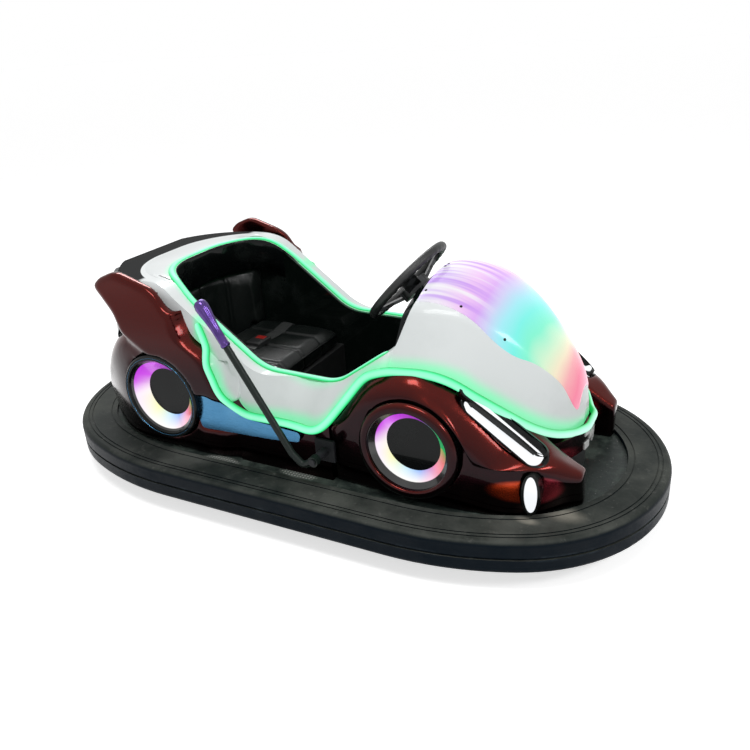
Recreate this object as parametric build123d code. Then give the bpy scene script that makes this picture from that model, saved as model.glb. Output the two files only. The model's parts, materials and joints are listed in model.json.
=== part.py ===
from build123d import *
import math
import os

# Battery bumper car: +X is the front, +Y the left side, +Z up, in millimetres.
# The origin is on the floor, in the middle of the bumper ring.

# Rubber bumper ring
BUMPER_LENGTH = 1950.0
BUMPER_WIDTH = 984.0
BUMPER_END = 617.0
BUMPER_NOSE_RADIUS = 462.0
BUMPER_BOTTOM = 60.0
BUMPER_TOP = 153.0
RUBBER_WIDTH = 115.0
RUBBER_EDGE_RADIUS = 14.0
GROOVE_HEIGHT = 102.0
GROOVE_WIDTH = 7.0
GROOVE_DEPTH = 5.0
RIDGE_INSETS = (22.0, 34.0, 96.0)
RIDGE_WIDTH = 4.0
RIDGE_DEPTH = 2.5
SEAT_GAP = 0.3

# Steel carrier inside the rubber
BAND_THICKNESS = 5.0
BAND_BOTTOM = 76.0
DECK_THICKNESS = 6.0
DECK_TOP = 141.0
DECK_INSET = 235.0

# Chassis frame
RAIL_SIZE = 40.0
RAIL_OFFSET = 165.0
RAIL_REAR = -690.0
RAIL_FRONT = 742.0
CROSS_MEMBERS = (-670.0, -395.0, -60.0, 300.0)
WIDE_CROSS_FROM = -450.0
CROSS_GAP = 6.0
TONGUE_GAP = 1.0
LIFT_PAD_X = -200.0
LIFT_PAD_LENGTH = 90.0
LIFT_PAD_THICKNESS = 5.0

# Rear wheels
REAR_WHEEL_X = -500.0
REAR_WHEEL_TRACK = 530.0
REAR_WHEEL_RADIUS = 67.5
REAR_WHEEL_WIDTH = 42.0
AXLE_RADIUS = 9.0
HANGER_THICKNESS = 8.0
RUN_CLEARANCE = 5.0
PIN_CLEARANCE = 0.5

# Front drive wheel and its fork
FRONT_WHEEL_X = 600.0
FRONT_WHEEL_RADIUS = 90.0
FRONT_WHEEL_WIDTH = 50.0
TYRE_DEPTH = 24.0
HUB_BORE_WALL = 9.0
FORK_PLATE = 8.0
FORK_CROWN = 12.0
FORK_LEG_WIDTH = 44.0
KINGPIN_RADIUS = 14.0
BRIDGE_PLATE = 8.0
BRIDGE_BOTTOM = 212.0
BEARING_RADIUS = 26.0
BEARING_HEIGHT = 22.0
BALL_RADIUS = 15.0
CUP_WALL = 5.0

# Steering column and wheel
WHEEL_CENTRE_X = 226.0
WHEEL_CENTRE_Z = 629.0
WHEEL_RIM_RADIUS = 134.0
WHEEL_RIM_TUBE = 12.5
JOINT_Z = 291.0
COLUMN_RADIUS = 12.0
COLUMN_CLEARANCE = 1.0
WHEEL_DISH = 42.0
SPOKE_COUNT = 3
SPOKE_WIDTH = 46.0
SPOKE_THICKNESS = 9.0
SPOKE_ROOT = 6.0
HUB_RADIUS = 46.0
HUB_DEPTH = 26.0

# Body shells
BODY_BASE = DECK_TOP
SHELL_WALL = 7.0
HOOD_SPLIT = 300.0
RIM_LAND = 8.0
TUB_HALF_WIDTH = 250.0
TUB_REAR = -600.0
TUB_FRONT = 292.0
TUB_REAR_RADIUS = 200.0
TUB_FRONT_RADIUS = 60.0
SMALL_RADIUS = 5.0
TUB_WALL = 8.0
TUB_FLOOR = 152.0
WHITE_REAR_HEIGHT = 450.0
NEON_REAR_TOP = (-238.0, 562.0)
NEON_DIP = (-146.0, 318.0)
NEON_LINE = ((125, 312), (255, 490), (425, 493), (735, 284))
NEON_RADII = (70, 90, 80, 220, 100)
NEON_REAR_RADIUS = 6.0
RIM_LINE = ((-410, 650), (-110, 418), (130, 412), (305, 538), (334, 655))
RIM_RADII = (150, 150, 120, 30, 20)
NEON_WIDTH = 18.0
NEON_DEPTH = 11.0
RIM_NEON_WIDTH = 12.0
RIM_NEON_HEIGHT = 10.0
RIM_NEON_FRONT = 285.0
PANEL_THICKNESS = 3.0
PANEL_PLAN = ((334, -182), (560, -182), (735, -70), (735, 70), (560, 182), (334, 182))
PANEL_RADII = (4, 200, 60, 60, 200, 4)
WIDE = 900.0

# Upper shell sections: x, half width at the neon line, its height, half width at the
# shoulder, crown above the shoulder, height of the crown, shoulder radius.
COCKPIT_SECTIONS = (
    (-700, 195, 310, 150, 12, 665, 40),
    (-655, 275, 310, 225, 14, 665, 45),
    (-560, 335, 310, 290, 16, 668, 45),
    (-400, 352, 310, 308, 16, 665, 45),
    (-200, 352, 310, 285, 14, 600, 45),
    (0, 352, 310, 245, 12, 470, 40),
    (180, 345, 384, 235, 20, 520, 40),
    (HOOD_SPLIT, 302, 482, 210, 45, 655, 60),
)
HOOD_SECTIONS = (
    (HOOD_SPLIT, 302, 482, 210, 45, 655, 60),
    (400, 288, 487, 200, 60, 686, 70),
    (500, 260, 447, 178, 58, 658, 65),
    (600, 216, 380, 145, 48, 578, 55),
    (675, 170, 325, 108, 36, 487, 42),
    (722, 100, 287, 62, 22, 415, 26),
    (744, 34, 284, 20, 8, 340, 9),
)

# Sill between the fenders
SILL_REAR = -180.0
SILL_FRONT = 130.0
SILL_INNER = 292.0
SILL_OUTER = 334.0

# Fender sections: x, inner face, outer face at the base, outer face at the shoulder,
# height of the crown at the shoulder, its height at the inner face, shoulder radius.
FRONT_FENDER_SECTIONS = (
    (SILL_FRONT, 165, 322, 334, 325, 325, 30),
    (210, 165, 330, 347, 425, 425, 60),
    (300, 165, 338, 354, 492, 492, 75),
    (400, 165, 342, 356, 506, 488, 80),
    (500, 165, 338, 352, 478, 435, 75),
    (600, 165, 328, 340, 415, 362, 60),
    (700, 165, 284, 310, 335, 292, 42),
    (790, 165, 198, 236, 250, 240, 15),
)
REAR_FENDER_SECTIONS = (
    (-788, 160, 192, 200, 235, 235, 18),
    (-745, 160, 240, 262, 330, 330, 50),
    (-670, 160, 294, 310, 425, 425, 62),
    (-580, 160, 332, 348, 500, 500, 70),
    (-433, 160, 346, 360, 540, 540, 70),
    (-300, 160, 348, 360, 502, 502, 62),
    (-225, 160, 340, 348, 400, 400, 40),
    (SILL_REAR, 160, 330, 336, 325, 325, 25),
)
FENDER_INNER = 175.0

# Rear fin on each side: its outline in side view, and where it stands
FIN_OUTLINE = (
    (-600, 666), (-540, 690), (-430, 655), (-330, 600), (-238, 562), (-195, 450),
    (-180, 330), (-330, 330), (-470, 450), (-545, 500), (-566, 560), (-632, 640),
)
FIN_RADII = (14, 60, 150, 150, 10, 60, 5, 5, 30, 60, 90, 14)
FIN_INNER = 318.0
FIN_OUTER = 366.0
FIN_EDGE_RADIUS = 16.0

# Polished trim on the sill
TRIM_OUTLINE = (
    (-316, 285), (-305, 338), (-262, 344), (-200, 318), (-120, 290), (46, 280),
    (36, 250), (-60, 240), (-300, 231),
)
TRIM_RADII = (12, 14, 20, 60, 60, 12, 10, 60, 12)
TRIM_BACK = 330.0
TRIM_FACE = 346.0

# Wheel lights
LIGHT_CENTRES = {"rear": (-433.0, 315.0), "front": (373.0, 300.0)}
LIGHT_RADIUS = 114.0
LIGHT_DISC_RADIUS = 76.0
LIGHT_DEPTH = 38.0
LIGHT_BEZEL_RADIUS = 134.0
LIGHT_BEZEL_PROUD = 6.0
LIGHT_FACE = 358.0
LIGHT_WALL = 4.0

# Headlight slot in each front fender, seen square to the fender's top
HEADLIGHT_CENTRE = (582.0, 250.0, 362.0)
HEADLIGHT_FALL = 30.0
HEADLIGHT_TILT = 24.0
HEADLIGHT_LENGTH = 272.0
HEADLIGHT_WIDTH = 58.0
HEADLIGHT_BEZEL = 7.0
HEADLIGHT_LENS = 6.0

# Side lamp low on each front fender
SIDE_LAMP_CENTRE = (684.0, 222.0)
SIDE_LAMP_HALF_WIDTH = 17.0
SIDE_LAMP_HALF_HEIGHT = 52.0
SIDE_LAMP_BEZEL = 7.0
SIDE_LAMP_BACK = 288.0
SIDE_LAMP_FACE = 318.0

# Nose between the front fenders
NOSE_OVERHANG = 16.0
NOSE_HALF_WIDTH = 224.0
NOSE_BACK = 600.0
LIP_BOTTOM = 222.0
LIP_TOP = 283.0
LIP_DEPTH = 34.0
GRILLE_INSET = 16.0
CHEQUER_ROWS = 3
CHEQUER_COLUMNS = 4
CHEQUER_HEIGHT = 20.0
CHEQUER_ANGLE = 7.0
CHEQUER_PROUD = 3.0

# Tail: side view of the panel between the rear fenders, and of the cover above it
TAIL_OUTLINE = ((-700, 141), (-788, 141), (-796, 235), (-745, 330), (-700, 390))
TAIL_RADII = (0, 0, 12, 200, 0)
TAIL_WALL = 8.0
COVER_OUTLINE = (
    (-830, 240), (-750, 342), (-670, 437), (-580, 512), (-433, 552), (-433, 632), (-830, 632),
)
COVER_DEPTH = 14.0
BATTERY_SIZE = (110.0, 330.0, 175.0)
BATTERY_X = -672.0

# Cockpit fittings
DASH_THICKNESS = 16.0
DASH_BOTTOM = 498.0
CONSOLE_SIZE = (74.0, 210.0, 84.0)
CONSOLE_BOTTOM = 372.0
SEAT_REAR = -468.0
SEAT_FRONT = -140.0
SEAT_HALF_WIDTH = 225.0
SEAT_BASE_TOP = 290.0
CUSHION_THICKNESS = 62.0
CUSHION_RADIUS = 18.0
BACK_TOP = 545.0
BACK_THICKNESS = 58.0
BELT_WIDTH = 46.0
BELT_THICKNESS = 3.0
BELT_X = -320.0
BELT_REACH = 205.0
BUCKLE_SIZE = (58.0, 84.0, 20.0)

# Lever beside the cockpit, on the right
LEVER_PIVOT = (116.0, -398.0, 238.0)
LEVER_PATH = ((-125, 535), (47, 245), (80, 216), (116, 238))
LEVER_PATH_RADII = (24, 18)
LEVER_BAR_RADIUS = 10.0
LEVER_HUB_RADIUS = 15.0
LEVER_HUB_WIDTH = 20.0
LEVER_PIN_RADIUS = 5.0
GRIP_LENGTH = 142.0
GRIP_PROFILE = ((0, 12), (10, 16), (20, 12), (60, 13), (105, 19), (128, 20), (142, 11))
BRACKET_SIZE = (60.0, 8.0, 66.0)


NOSE_REACH = HOOD_SECTIONS[-1][0] + NOSE_OVERHANG
RAIL_TOP = DECK_TOP - DECK_THICKNESS
RAIL_BOTTOM = RAIL_TOP - RAIL_SIZE
KINGPIN_TOP = BRIDGE_BOTTOM + BRIDGE_PLATE + BEARING_HEIGHT + 6
COLUMN_VECTOR = Vector(WHEEL_CENTRE_X - FRONT_WHEEL_X, 0, WHEEL_CENTRE_Z - JOINT_Z)
COLUMN_AXIS = COLUMN_VECTOR.normalized()
COLUMN_DIRECTION = (COLUMN_AXIS.X, COLUMN_AXIS.Z)
COLUMN_LENGTH = COLUMN_VECTOR.length - WHEEL_DISH


def side_path(points, radii, close=False):
    """Wire in the XZ plane through x, z points, its corners rounded."""
    path = FilletPolyline(*[(x, 0, z) for x, z in points], radius=radii, close=close)
    return Wire(path.edges())


def side_face(points, radii):
    """Face in the XZ plane from x, z points and one corner radius for each."""
    return Face(side_path(points, radii, close=True))


def slab(face, low, high):
    """Face in the XZ plane, made solid from y = low to y = high."""
    moved = Pos(0, low, 0) * face
    return extrude(moved, high - low, dir=(0, 1, 0))


def left_right(solid):
    """The left solid and its mirror image on the right."""
    return {"left": solid, "right": mirror(solid, Plane.XZ)}


def ring_outline(inset):
    """Plan outline of the bumper, its inset parallel to the outside, as a face."""
    half_length = BUMPER_LENGTH / 2
    half_width = BUMPER_WIDTH / 2
    nose = BUMPER_NOSE_RADIUS
    end = BUMPER_END
    flank = (2 * end * nose - end**2 - half_width**2) / (2 * (nose - half_width))
    start = half_length - end
    nose_centre = Vector(half_length - nose, 0)
    flank_centre = Vector(start, half_width - flank)
    outward = (nose_centre - flank_centre).normalized()
    shoulder = nose_centre + outward * (nose - inset)
    side = Vector(start, half_width - inset)
    turn = math.degrees(math.atan2(outward.Y, outward.X))
    mid_turn = math.radians((90 + turn) / 2)
    middle = flank_centre + Vector(math.cos(mid_turn), math.sin(mid_turn)) * (flank - inset)
    tip = Vector(half_length - inset, 0)

    def at(point, x_sign, y_sign):
        return (x_sign * point.X, y_sign * point.Y)

    edges = [
        Line(at(side, -1, 1), at(side, 1, 1)),
        ThreePointArc(at(side, 1, 1), at(middle, 1, 1), at(shoulder, 1, 1)),
        ThreePointArc(at(shoulder, 1, 1), at(tip, 1, 1), at(shoulder, 1, -1)),
        ThreePointArc(at(shoulder, 1, -1), at(middle, 1, -1), at(side, 1, -1)),
        Line(at(side, 1, -1), at(side, -1, -1)),
        ThreePointArc(at(side, -1, -1), at(middle, -1, -1), at(shoulder, -1, -1)),
        ThreePointArc(at(shoulder, -1, -1), at(tip, -1, 1), at(shoulder, -1, 1)),
        ThreePointArc(at(shoulder, -1, 1), at(middle, -1, 1), at(side, -1, 1)),
    ]
    return Face(Wire(edges))


def ring(outer_inset, inner_inset, bottom, top):
    """Closed band that follows the bumper's plan."""
    height = top - bottom
    outer = extrude(Pos(0, 0, bottom) * ring_outline(outer_inset), height, dir=(0, 0, 1))
    inner = extrude(Pos(0, 0, bottom) * ring_outline(inner_inset), height, dir=(0, 0, 1))
    return outer - inner


def bumper_ring():
    height = BUMPER_TOP - BUMPER_BOTTOM
    outer = extrude(Pos(0, 0, BUMPER_BOTTOM) * ring_outline(0), height, dir=(0, 0, 1))
    rims = outer.edges().filter_by(lambda e: e.center().Z > BUMPER_TOP - 1)
    rims += outer.edges().filter_by(lambda e: e.center().Z < BUMPER_BOTTOM + 1)
    outer = fillet(rims, RUBBER_EDGE_RADIUS)
    inner = extrude(
        Pos(0, 0, BUMPER_BOTTOM) * ring_outline(RUBBER_WIDTH), height, dir=(0, 0, 1)
    )
    rubber = outer - inner
    rubber -= ring(-1, GROOVE_DEPTH, GROOVE_HEIGHT, GROOVE_HEIGHT + GROOVE_WIDTH)
    for inset in RIDGE_INSETS:
        rubber -= ring(inset, inset + RIDGE_WIDTH, BUMPER_TOP - RIDGE_DEPTH, BUMPER_TOP + 1)
    return rubber


def bumper_carrier():
    band_inset = RUBBER_WIDTH + SEAT_GAP
    band = ring(band_inset, band_inset + BAND_THICKNESS, BAND_BOTTOM, DECK_TOP)
    deck = ring(band_inset, DECK_INSET, DECK_TOP - DECK_THICKNESS, DECK_TOP)
    return band + deck


def bar(x_range, y_range, z_range):
    """Plain rectangular solid between two corners."""
    size = (x_range[1] - x_range[0], y_range[1] - y_range[0], z_range[1] - z_range[0])
    middle = (sum(x_range) / 2, sum(y_range) / 2, sum(z_range) / 2)
    return Pos(*middle) * Box(*size)


def chassis_frame():
    half = RAIL_SIZE / 2
    frame = None
    for side in (-1, 1):
        centre = side * RAIL_OFFSET
        rail = bar(
            (RAIL_REAR, RAIL_FRONT), (centre - half, centre + half), (RAIL_BOTTOM, RAIL_TOP)
        )
        frame = rail if frame is None else frame + rail
    band_inner = RUBBER_WIDTH + SEAT_GAP + BAND_THICKNESS
    reach = BUMPER_WIDTH / 2 - band_inner - CROSS_GAP
    for x in CROSS_MEMBERS:
        width = reach if x > WIDE_CROSS_FROM and x < FRONT_WHEEL_X else RAIL_OFFSET
        frame += bar((x - half, x + half), (-width, width), (RAIL_BOTTOM, RAIL_TOP))
    end = BUMPER_LENGTH / 2 - band_inner - TONGUE_GAP
    tongues = ((RAIL_FRONT - RAIL_SIZE, end), (-end, RAIL_REAR + RAIL_SIZE))
    for tongue in tongues:
        frame += bar(tongue, (-half, half), (RAIL_BOTTOM, RAIL_TOP))
    frame += bar(
        (RAIL_FRONT - RAIL_SIZE, RAIL_FRONT), (-RAIL_OFFSET, RAIL_OFFSET), (RAIL_BOTTOM, RAIL_TOP)
    )
    pad = LIFT_PAD_LENGTH / 2
    for side in (-1, 1):
        frame += bar(
            (LIFT_PAD_X - pad, LIFT_PAD_X + pad),
            (side * RAIL_OFFSET - half, side * RAIL_OFFSET + half),
            (RAIL_BOTTOM - LIFT_PAD_THICKNESS, RAIL_BOTTOM),
        )
    return frame


def tub_outline(inset):
    """Plan of the cockpit tub, inset from its outer face, as a face."""
    half = TUB_HALF_WIDTH - inset
    rear = TUB_REAR + inset
    front = TUB_FRONT - inset
    corners = [(rear, -half), (front, -half), (front, half), (rear, half)]
    rear_radius = max(TUB_REAR_RADIUS - inset, SMALL_RADIUS)
    front_radius = max(TUB_FRONT_RADIUS - inset, SMALL_RADIUS)
    radii = [rear_radius, front_radius, front_radius, rear_radius]
    path = FilletPolyline(*[(x, y, 0) for x, y in corners], radius=radii, close=True)
    return Face(Wire(path.edges()))


def upright(face, bottom, top):
    """Face in the XY plane, made solid from z = bottom to z = top."""
    return extrude(Pos(0, 0, bottom) * face, top - bottom, dir=(0, 0, 1))


def above_neon(rear_height, shift=0.0):
    """Region above the side neon line, which starts at rear_height, moved up by shift."""
    slope = (NEON_REAR_TOP[0] - NEON_DIP[0]) / (NEON_REAR_TOP[1] - NEON_DIP[1])
    start = NEON_DIP[0] + slope * (rear_height - NEON_DIP[1])
    points = [(-WIDE, rear_height), (start, rear_height), NEON_DIP, *NEON_LINE]
    points += [(WIDE, NEON_LINE[-1][1]), (WIDE, WIDE), (-WIDE, WIDE)]
    radii = [0, NEON_REAR_RADIUS, *NEON_RADII, 0, 0, 0]
    face = side_face(points, radii)
    return face if shift == 0 else offset(face, -shift, kind=Kind.ARC)


def above_rim(shift=0.0):
    """Region cut away over the cockpit, its edge moved up by shift."""
    points = [(-WIDE, RIM_LINE[0][1]), *RIM_LINE, (RIM_LINE[-1][0], WIDE), (-WIDE, WIDE)]
    radii = [0, *RIM_RADII, 0, 0]
    face = side_face(points, radii)
    return face if shift == 0 else offset(face, -shift, kind=Kind.ARC)


def shell_section(row, inset):
    """One cross section of the upper shell, inset from its outside, as a face."""
    x, line_width, line_height, shoulder, crown, top, radius = row
    line_width, shoulder, top = line_width - inset, shoulder - inset, top - inset
    shoulder_height = top - crown
    lean = (line_width - shoulder) / (shoulder_height - line_height)
    base = line_width + lean * (line_height - BODY_BASE)
    base_right, base_left = (x, -base, BODY_BASE), (x, base, BODY_BASE)
    right, left = (x, -shoulder, shoulder_height), (x, shoulder, shoulder_height)
    edges = [
        Line(base_left, base_right),
        Line(base_right, right),
        ThreePointArc(right, (x, 0, top), left),
        Line(left, base_left),
    ]
    face = Face(Wire(edges))
    corners = [v for v in face.vertices() if v.Z > BODY_BASE + 1]
    return fillet(corners, max(radius - inset, 2)).face()


def shell_loft(rows, inset=0.0):
    """Upper shell form through its sections, inset (or outset, if negative)."""
    faces = []
    for index, row in enumerate(rows):
        row = list(row)
        if index in (0, len(rows) - 1) and row[0] != HOOD_SPLIT:
            row[0] += inset if index == 0 else -inset
        faces.append(shell_section(row, inset))
    return loft(faces)


def fender_section(row):
    x, inner, base, shoulder, top, inner_top, radius = row
    points = [
        (x, inner, BODY_BASE), (x, base, BODY_BASE), (x, shoulder, top), (x, inner, inner_top),
    ]
    face = Face(Wire.make_polygon(points, close=True))
    corner = [v for v in face.vertices() if v.Z > BODY_BASE + 1 and v.Y > inner + 1]
    return fillet(corner, radius).face()


def fender_loft(rows):
    return loft([fender_section(row) for row in rows])


def turned(profile, centre, direction):
    """Solid of revolution from r, h points about a line through centre."""
    face = Face(Wire.make_polygon([(r, 0, h) for r, h in profile], close=True))
    solid = revolve(face, Axis.Z)
    return Plane(origin=centre, z_dir=direction).location * solid


def rod(start, end, radius):
    """Round bar between two points."""
    start, end = Vector(*start), Vector(*end)
    along = end - start
    placed = Plane(origin=start, z_dir=along).location
    return placed * Cylinder(radius, along.length, align=(Align.CENTER, Align.CENTER, Align.MIN))


def cross_bar(x, z, y_low, y_high, radius):
    return rod((x, y_low, z), (x, y_high, z), radius)


def tyre(centre, radius, width, depth):
    """Solid rubber tyre about a line along Y."""
    half = width / 2
    crown = 4.0
    profile = [
        (radius - depth, -half), (radius - crown, -half), (radius, -half + crown),
        (radius, half - crown), (radius - crown, half), (radius - depth, half),
    ]
    return turned(profile, centre, (0, 1, 0))


def wheel_hub(centre, radius, width, bore):
    """Dished cast wheel inside a tyre, bored for its axle."""
    half = width / 2
    web = 6.0
    sleeve = bore + HUB_BORE_WALL
    rim = radius - 7.0
    profile = [
        (bore, -half), (sleeve, -half), (sleeve, -web), (rim, -web), (rim, -half + 3),
        (radius, -half + 3), (radius, half - 3), (rim, half - 3), (rim, web), (sleeve, web),
        (sleeve, half), (bore, half),
    ]
    return turned(profile, centre, (0, 1, 0))


def rear_axle():
    """Fixed axle under the rails, held by two hangers."""
    reach = REAR_WHEEL_TRACK / 2 + REAR_WHEEL_WIDTH / 2 + 8
    axle = cross_bar(REAR_WHEEL_X, REAR_WHEEL_RADIUS, -reach, reach, AXLE_RADIUS)
    width = 2.6 * AXLE_RADIUS
    for side in (-1, 1):
        centre = side * RAIL_OFFSET
        hanger = bar(
            (REAR_WHEEL_X - width, REAR_WHEEL_X + width),
            (centre - HANGER_THICKNESS, centre + HANGER_THICKNESS),
            (REAR_WHEEL_RADIUS - 1.6 * AXLE_RADIUS, RAIL_BOTTOM),
        )
        axle += hanger
        for face_side in (-1, 1):
            inner = side * (REAR_WHEEL_TRACK / 2) + face_side * (REAR_WHEEL_WIDTH / 2 + 2)
            outer = inner + face_side * 4
            axle += cross_bar(
                REAR_WHEEL_X, REAR_WHEEL_RADIUS, min(inner, outer), max(inner, outer),
                AXLE_RADIUS + 5,
            )
    return axle


def fork():
    """Front wheel fork: crown, two legs, axle, kingpin and the ball on top of it."""
    half = FRONT_WHEEL_WIDTH / 2 + RUN_CLEARANCE + FORK_PLATE
    crown_bottom = 2 * FRONT_WHEEL_RADIUS + RUN_CLEARANCE
    crown_top = crown_bottom + FORK_CROWN
    leg = FORK_LEG_WIDTH / 2
    x = FRONT_WHEEL_X
    body = bar((x - leg, x + leg), (-half, half), (crown_bottom, crown_top))
    for side in (-1, 1):
        faces = sorted((side * half, side * (half - FORK_PLATE)))
        body += bar((x - leg, x + leg), faces, (FRONT_WHEEL_RADIUS - leg, crown_bottom))
        inner = side * (half - FORK_PLATE)
        spacer = sorted((inner, side * (FRONT_WHEEL_WIDTH / 2 + 1)))
        body += cross_bar(x, FRONT_WHEEL_RADIUS, spacer[0], spacer[1], AXLE_RADIUS + 5)
    body += cross_bar(x, FRONT_WHEEL_RADIUS, -half, half, AXLE_RADIUS)
    body += rod((x, 0, crown_top), (x, 0, BRIDGE_BOTTOM - 1), BEARING_RADIUS - 4)
    body += rod((x, 0, crown_top), (x, 0, JOINT_Z), KINGPIN_RADIUS)
    neck = rod((x, 0, crown_top), (x, 0, JOINT_Z), KINGPIN_RADIUS - 6)
    ball = Pos(x, 0, JOINT_Z) * Sphere(BALL_RADIUS)
    body -= bar((x - 30, x + 30), (-30, 30), (KINGPIN_TOP, JOINT_Z + 30))
    return body + neck + ball


def steering_bridge():
    """Bridge over the front wheel with the kingpin's bearing."""
    x = FRONT_WHEEL_X
    half = FORK_LEG_WIDTH / 2 + 4
    top = BRIDGE_BOTTOM + BRIDGE_PLATE
    foot = RAIL_OFFSET + BRIDGE_PLATE
    bridge = bar((x - half, x + half), (-foot, foot), (BRIDGE_BOTTOM, top))
    for side in (-1, 1):
        faces = sorted((side * foot, side * (foot - BRIDGE_PLATE)))
        bridge += bar((x - half, x + half), faces, (RAIL_TOP, BRIDGE_BOTTOM))
    bridge += rod((x, 0, top), (x, 0, top + BEARING_HEIGHT), BEARING_RADIUS)
    bore = rod((x, 0, BRIDGE_BOTTOM - 1), (x, 0, KINGPIN_TOP), KINGPIN_RADIUS + PIN_CLEARANCE)
    return bridge - bore


def column_point(distance):
    """Point on the steering axis, distance above the lower joint."""
    return (
        FRONT_WHEEL_X + COLUMN_DIRECTION[0] * distance, 0,
        JOINT_Z + COLUMN_DIRECTION[1] * distance,
    )


def steering_column():
    """Shaft from the steering wheel to the cup of the lower joint."""
    inner = BALL_RADIUS + 1
    outer = inner + CUP_WALL
    cup = Sphere(outer) - Sphere(inner)
    cup -= Pos(0, 0, -outer + 2) * Box(3 * outer, 3 * outer, 2 * outer)
    cup = Plane(origin=column_point(0), z_dir=COLUMN_AXIS).location * cup
    shaft = rod(column_point(outer - 3), column_point(COLUMN_LENGTH), COLUMN_RADIUS)
    shaft -= Pos(*column_point(0)) * Sphere(inner)
    return shaft + cup


def wheel_plane():
    return Plane(origin=column_point(COLUMN_LENGTH + WHEEL_DISH), x_dir=(0, 1, 0), z_dir=COLUMN_AXIS)


def steering_rim():
    return wheel_plane().location * Torus(WHEEL_RIM_RADIUS, WHEEL_RIM_TUBE)


def steering_hub():
    """Deep dished hub with spokes up to the rim."""
    inner = WHEEL_RIM_RADIUS - WHEEL_RIM_TUBE + 3
    hub = Pos(0, 0, -WHEEL_DISH) * Cylinder(
        HUB_RADIUS, HUB_DEPTH, align=(Align.CENTER, Align.CENTER, Align.MIN)
    )
    half = SPOKE_THICKNESS / 2
    low = -WHEEL_DISH + HUB_DEPTH / 2
    root = HUB_RADIUS - SPOKE_ROOT
    profile = [(root, low - half), (inner, -half), (inner, half), (root, low + half)]
    face = Face(Wire.make_polygon([(r, 0, h) for r, h in profile], close=True))
    spoke = Pos(0, -SPOKE_WIDTH / 2, 0) * extrude(face, SPOKE_WIDTH, dir=(0, 1, 0))
    for index in range(SPOKE_COUNT):
        hub += Rot(0, 0, 90 + index * 360 / SPOKE_COUNT) * spoke
    hub -= Torus(WHEEL_RIM_RADIUS, WHEEL_RIM_TUBE)
    return wheel_plane().location * hub


def light_axis(side, row):
    x, z = LIGHT_CENTRES[row]
    return (x, side * LIGHT_FACE, z), (0, side, 0)


def light_pocket(side, row):
    centre, direction = light_axis(side, row)
    depth = LIGHT_DEPTH + LIGHT_WALL
    profile = [(0, -depth), (LIGHT_BEZEL_RADIUS, -depth), (LIGHT_BEZEL_RADIUS, 60), (0, 60)]
    return turned(profile, centre, direction)


def light_housing(side, row):
    """Black cup with the dark disc at its bottom and the bezel round its mouth."""
    centre, direction = light_axis(side, row)
    back = -LIGHT_DEPTH - LIGHT_WALL
    rim = LIGHT_BEZEL_RADIUS
    profile = [
        (0, back), (rim, back), (rim, LIGHT_BEZEL_PROUD - 3), (rim - 3, LIGHT_BEZEL_PROUD),
        (LIGHT_RADIUS + 5, LIGHT_BEZEL_PROUD), (LIGHT_RADIUS, 0), (LIGHT_RADIUS, -6),
        (LIGHT_DISC_RADIUS + 6, -LIGHT_DEPTH), (0, -LIGHT_DEPTH),
    ]
    return turned(profile, centre, direction)


def light_ring(side, row):
    """Lit conical wall of the cup."""
    centre, direction = light_axis(side, row)
    profile = [
        (LIGHT_DISC_RADIUS, -LIGHT_DEPTH), (LIGHT_DISC_RADIUS + 6, -LIGHT_DEPTH),
        (LIGHT_RADIUS, -6), (LIGHT_RADIUS, 0),
    ]
    return turned(profile, centre, direction)


def headlight_plane():
    """Plane of the headlight slot on the left, looking out of the fender."""
    fall = math.radians(HEADLIGHT_FALL)
    tilt = math.radians(HEADLIGHT_TILT)
    along = (math.cos(fall), 0, -math.sin(fall))
    out = (math.sin(fall) * math.cos(tilt), math.sin(tilt), math.cos(fall) * math.cos(tilt))
    return Plane(origin=HEADLIGHT_CENTRE, x_dir=along, z_dir=out)


def headlight_slot(inset, low, high):
    length = HEADLIGHT_LENGTH - 2 * inset
    width = HEADLIGHT_WIDTH - 2 * inset
    slot = extrude(Pos(0, 0, low) * SlotOverall(length, width), high - low, dir=(0, 0, 1))
    return headlight_plane().location * slot


def side_lamp(grow, low, high):
    """Elliptical prism of the left side lamp."""
    x, z = SIDE_LAMP_CENTRE
    placed = Plane(origin=(x, low, z), x_dir=(1, 0, 0), z_dir=(0, 1, 0))
    half_width = SIDE_LAMP_HALF_WIDTH + grow
    half_height = SIDE_LAMP_HALF_HEIGHT + grow
    return extrude(placed * Ellipse(half_width, half_height), high - low, dir=(0, 1, 0))


def nose_plan(inset):
    """Plan of the nose between the fenders, inset from its front, as a face."""
    half = NOSE_HALF_WIDTH - inset
    tip = NOSE_REACH - inset
    edges = [
        ThreePointArc((NOSE_BACK, -half), (tip, 0), (NOSE_BACK, half)),
        Line((NOSE_BACK, half), (NOSE_BACK, -half)),
    ]
    return Face(Wire(edges))


def chequers():
    """Small blocks in a chequer pattern on the nose lip."""
    radius = ((NOSE_REACH - NOSE_BACK) ** 2 + NOSE_HALF_WIDTH**2) / (2 * (NOSE_REACH - NOSE_BACK))
    centre = NOSE_REACH - radius
    blocks = []
    for row in range(CHEQUER_ROWS):
        for column in range(CHEQUER_COLUMNS):
            if (row + column) % 2:
                continue
            angle = (column - (CHEQUER_COLUMNS - 1) / 2) * CHEQUER_ANGLE
            width = 2 * radius * math.sin(math.radians(CHEQUER_ANGLE / 2)) - 0.5
            bottom = LIP_BOTTOM + row * CHEQUER_HEIGHT
            block = bar(
                (radius - 4, radius + CHEQUER_PROUD), (-width / 2, width / 2),
                (bottom, bottom + CHEQUER_HEIGHT - 0.5),
            )
            blocks.append(Pos(centre, 0, 0) * (Rot(0, 0, angle) * block))
    return blocks


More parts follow.
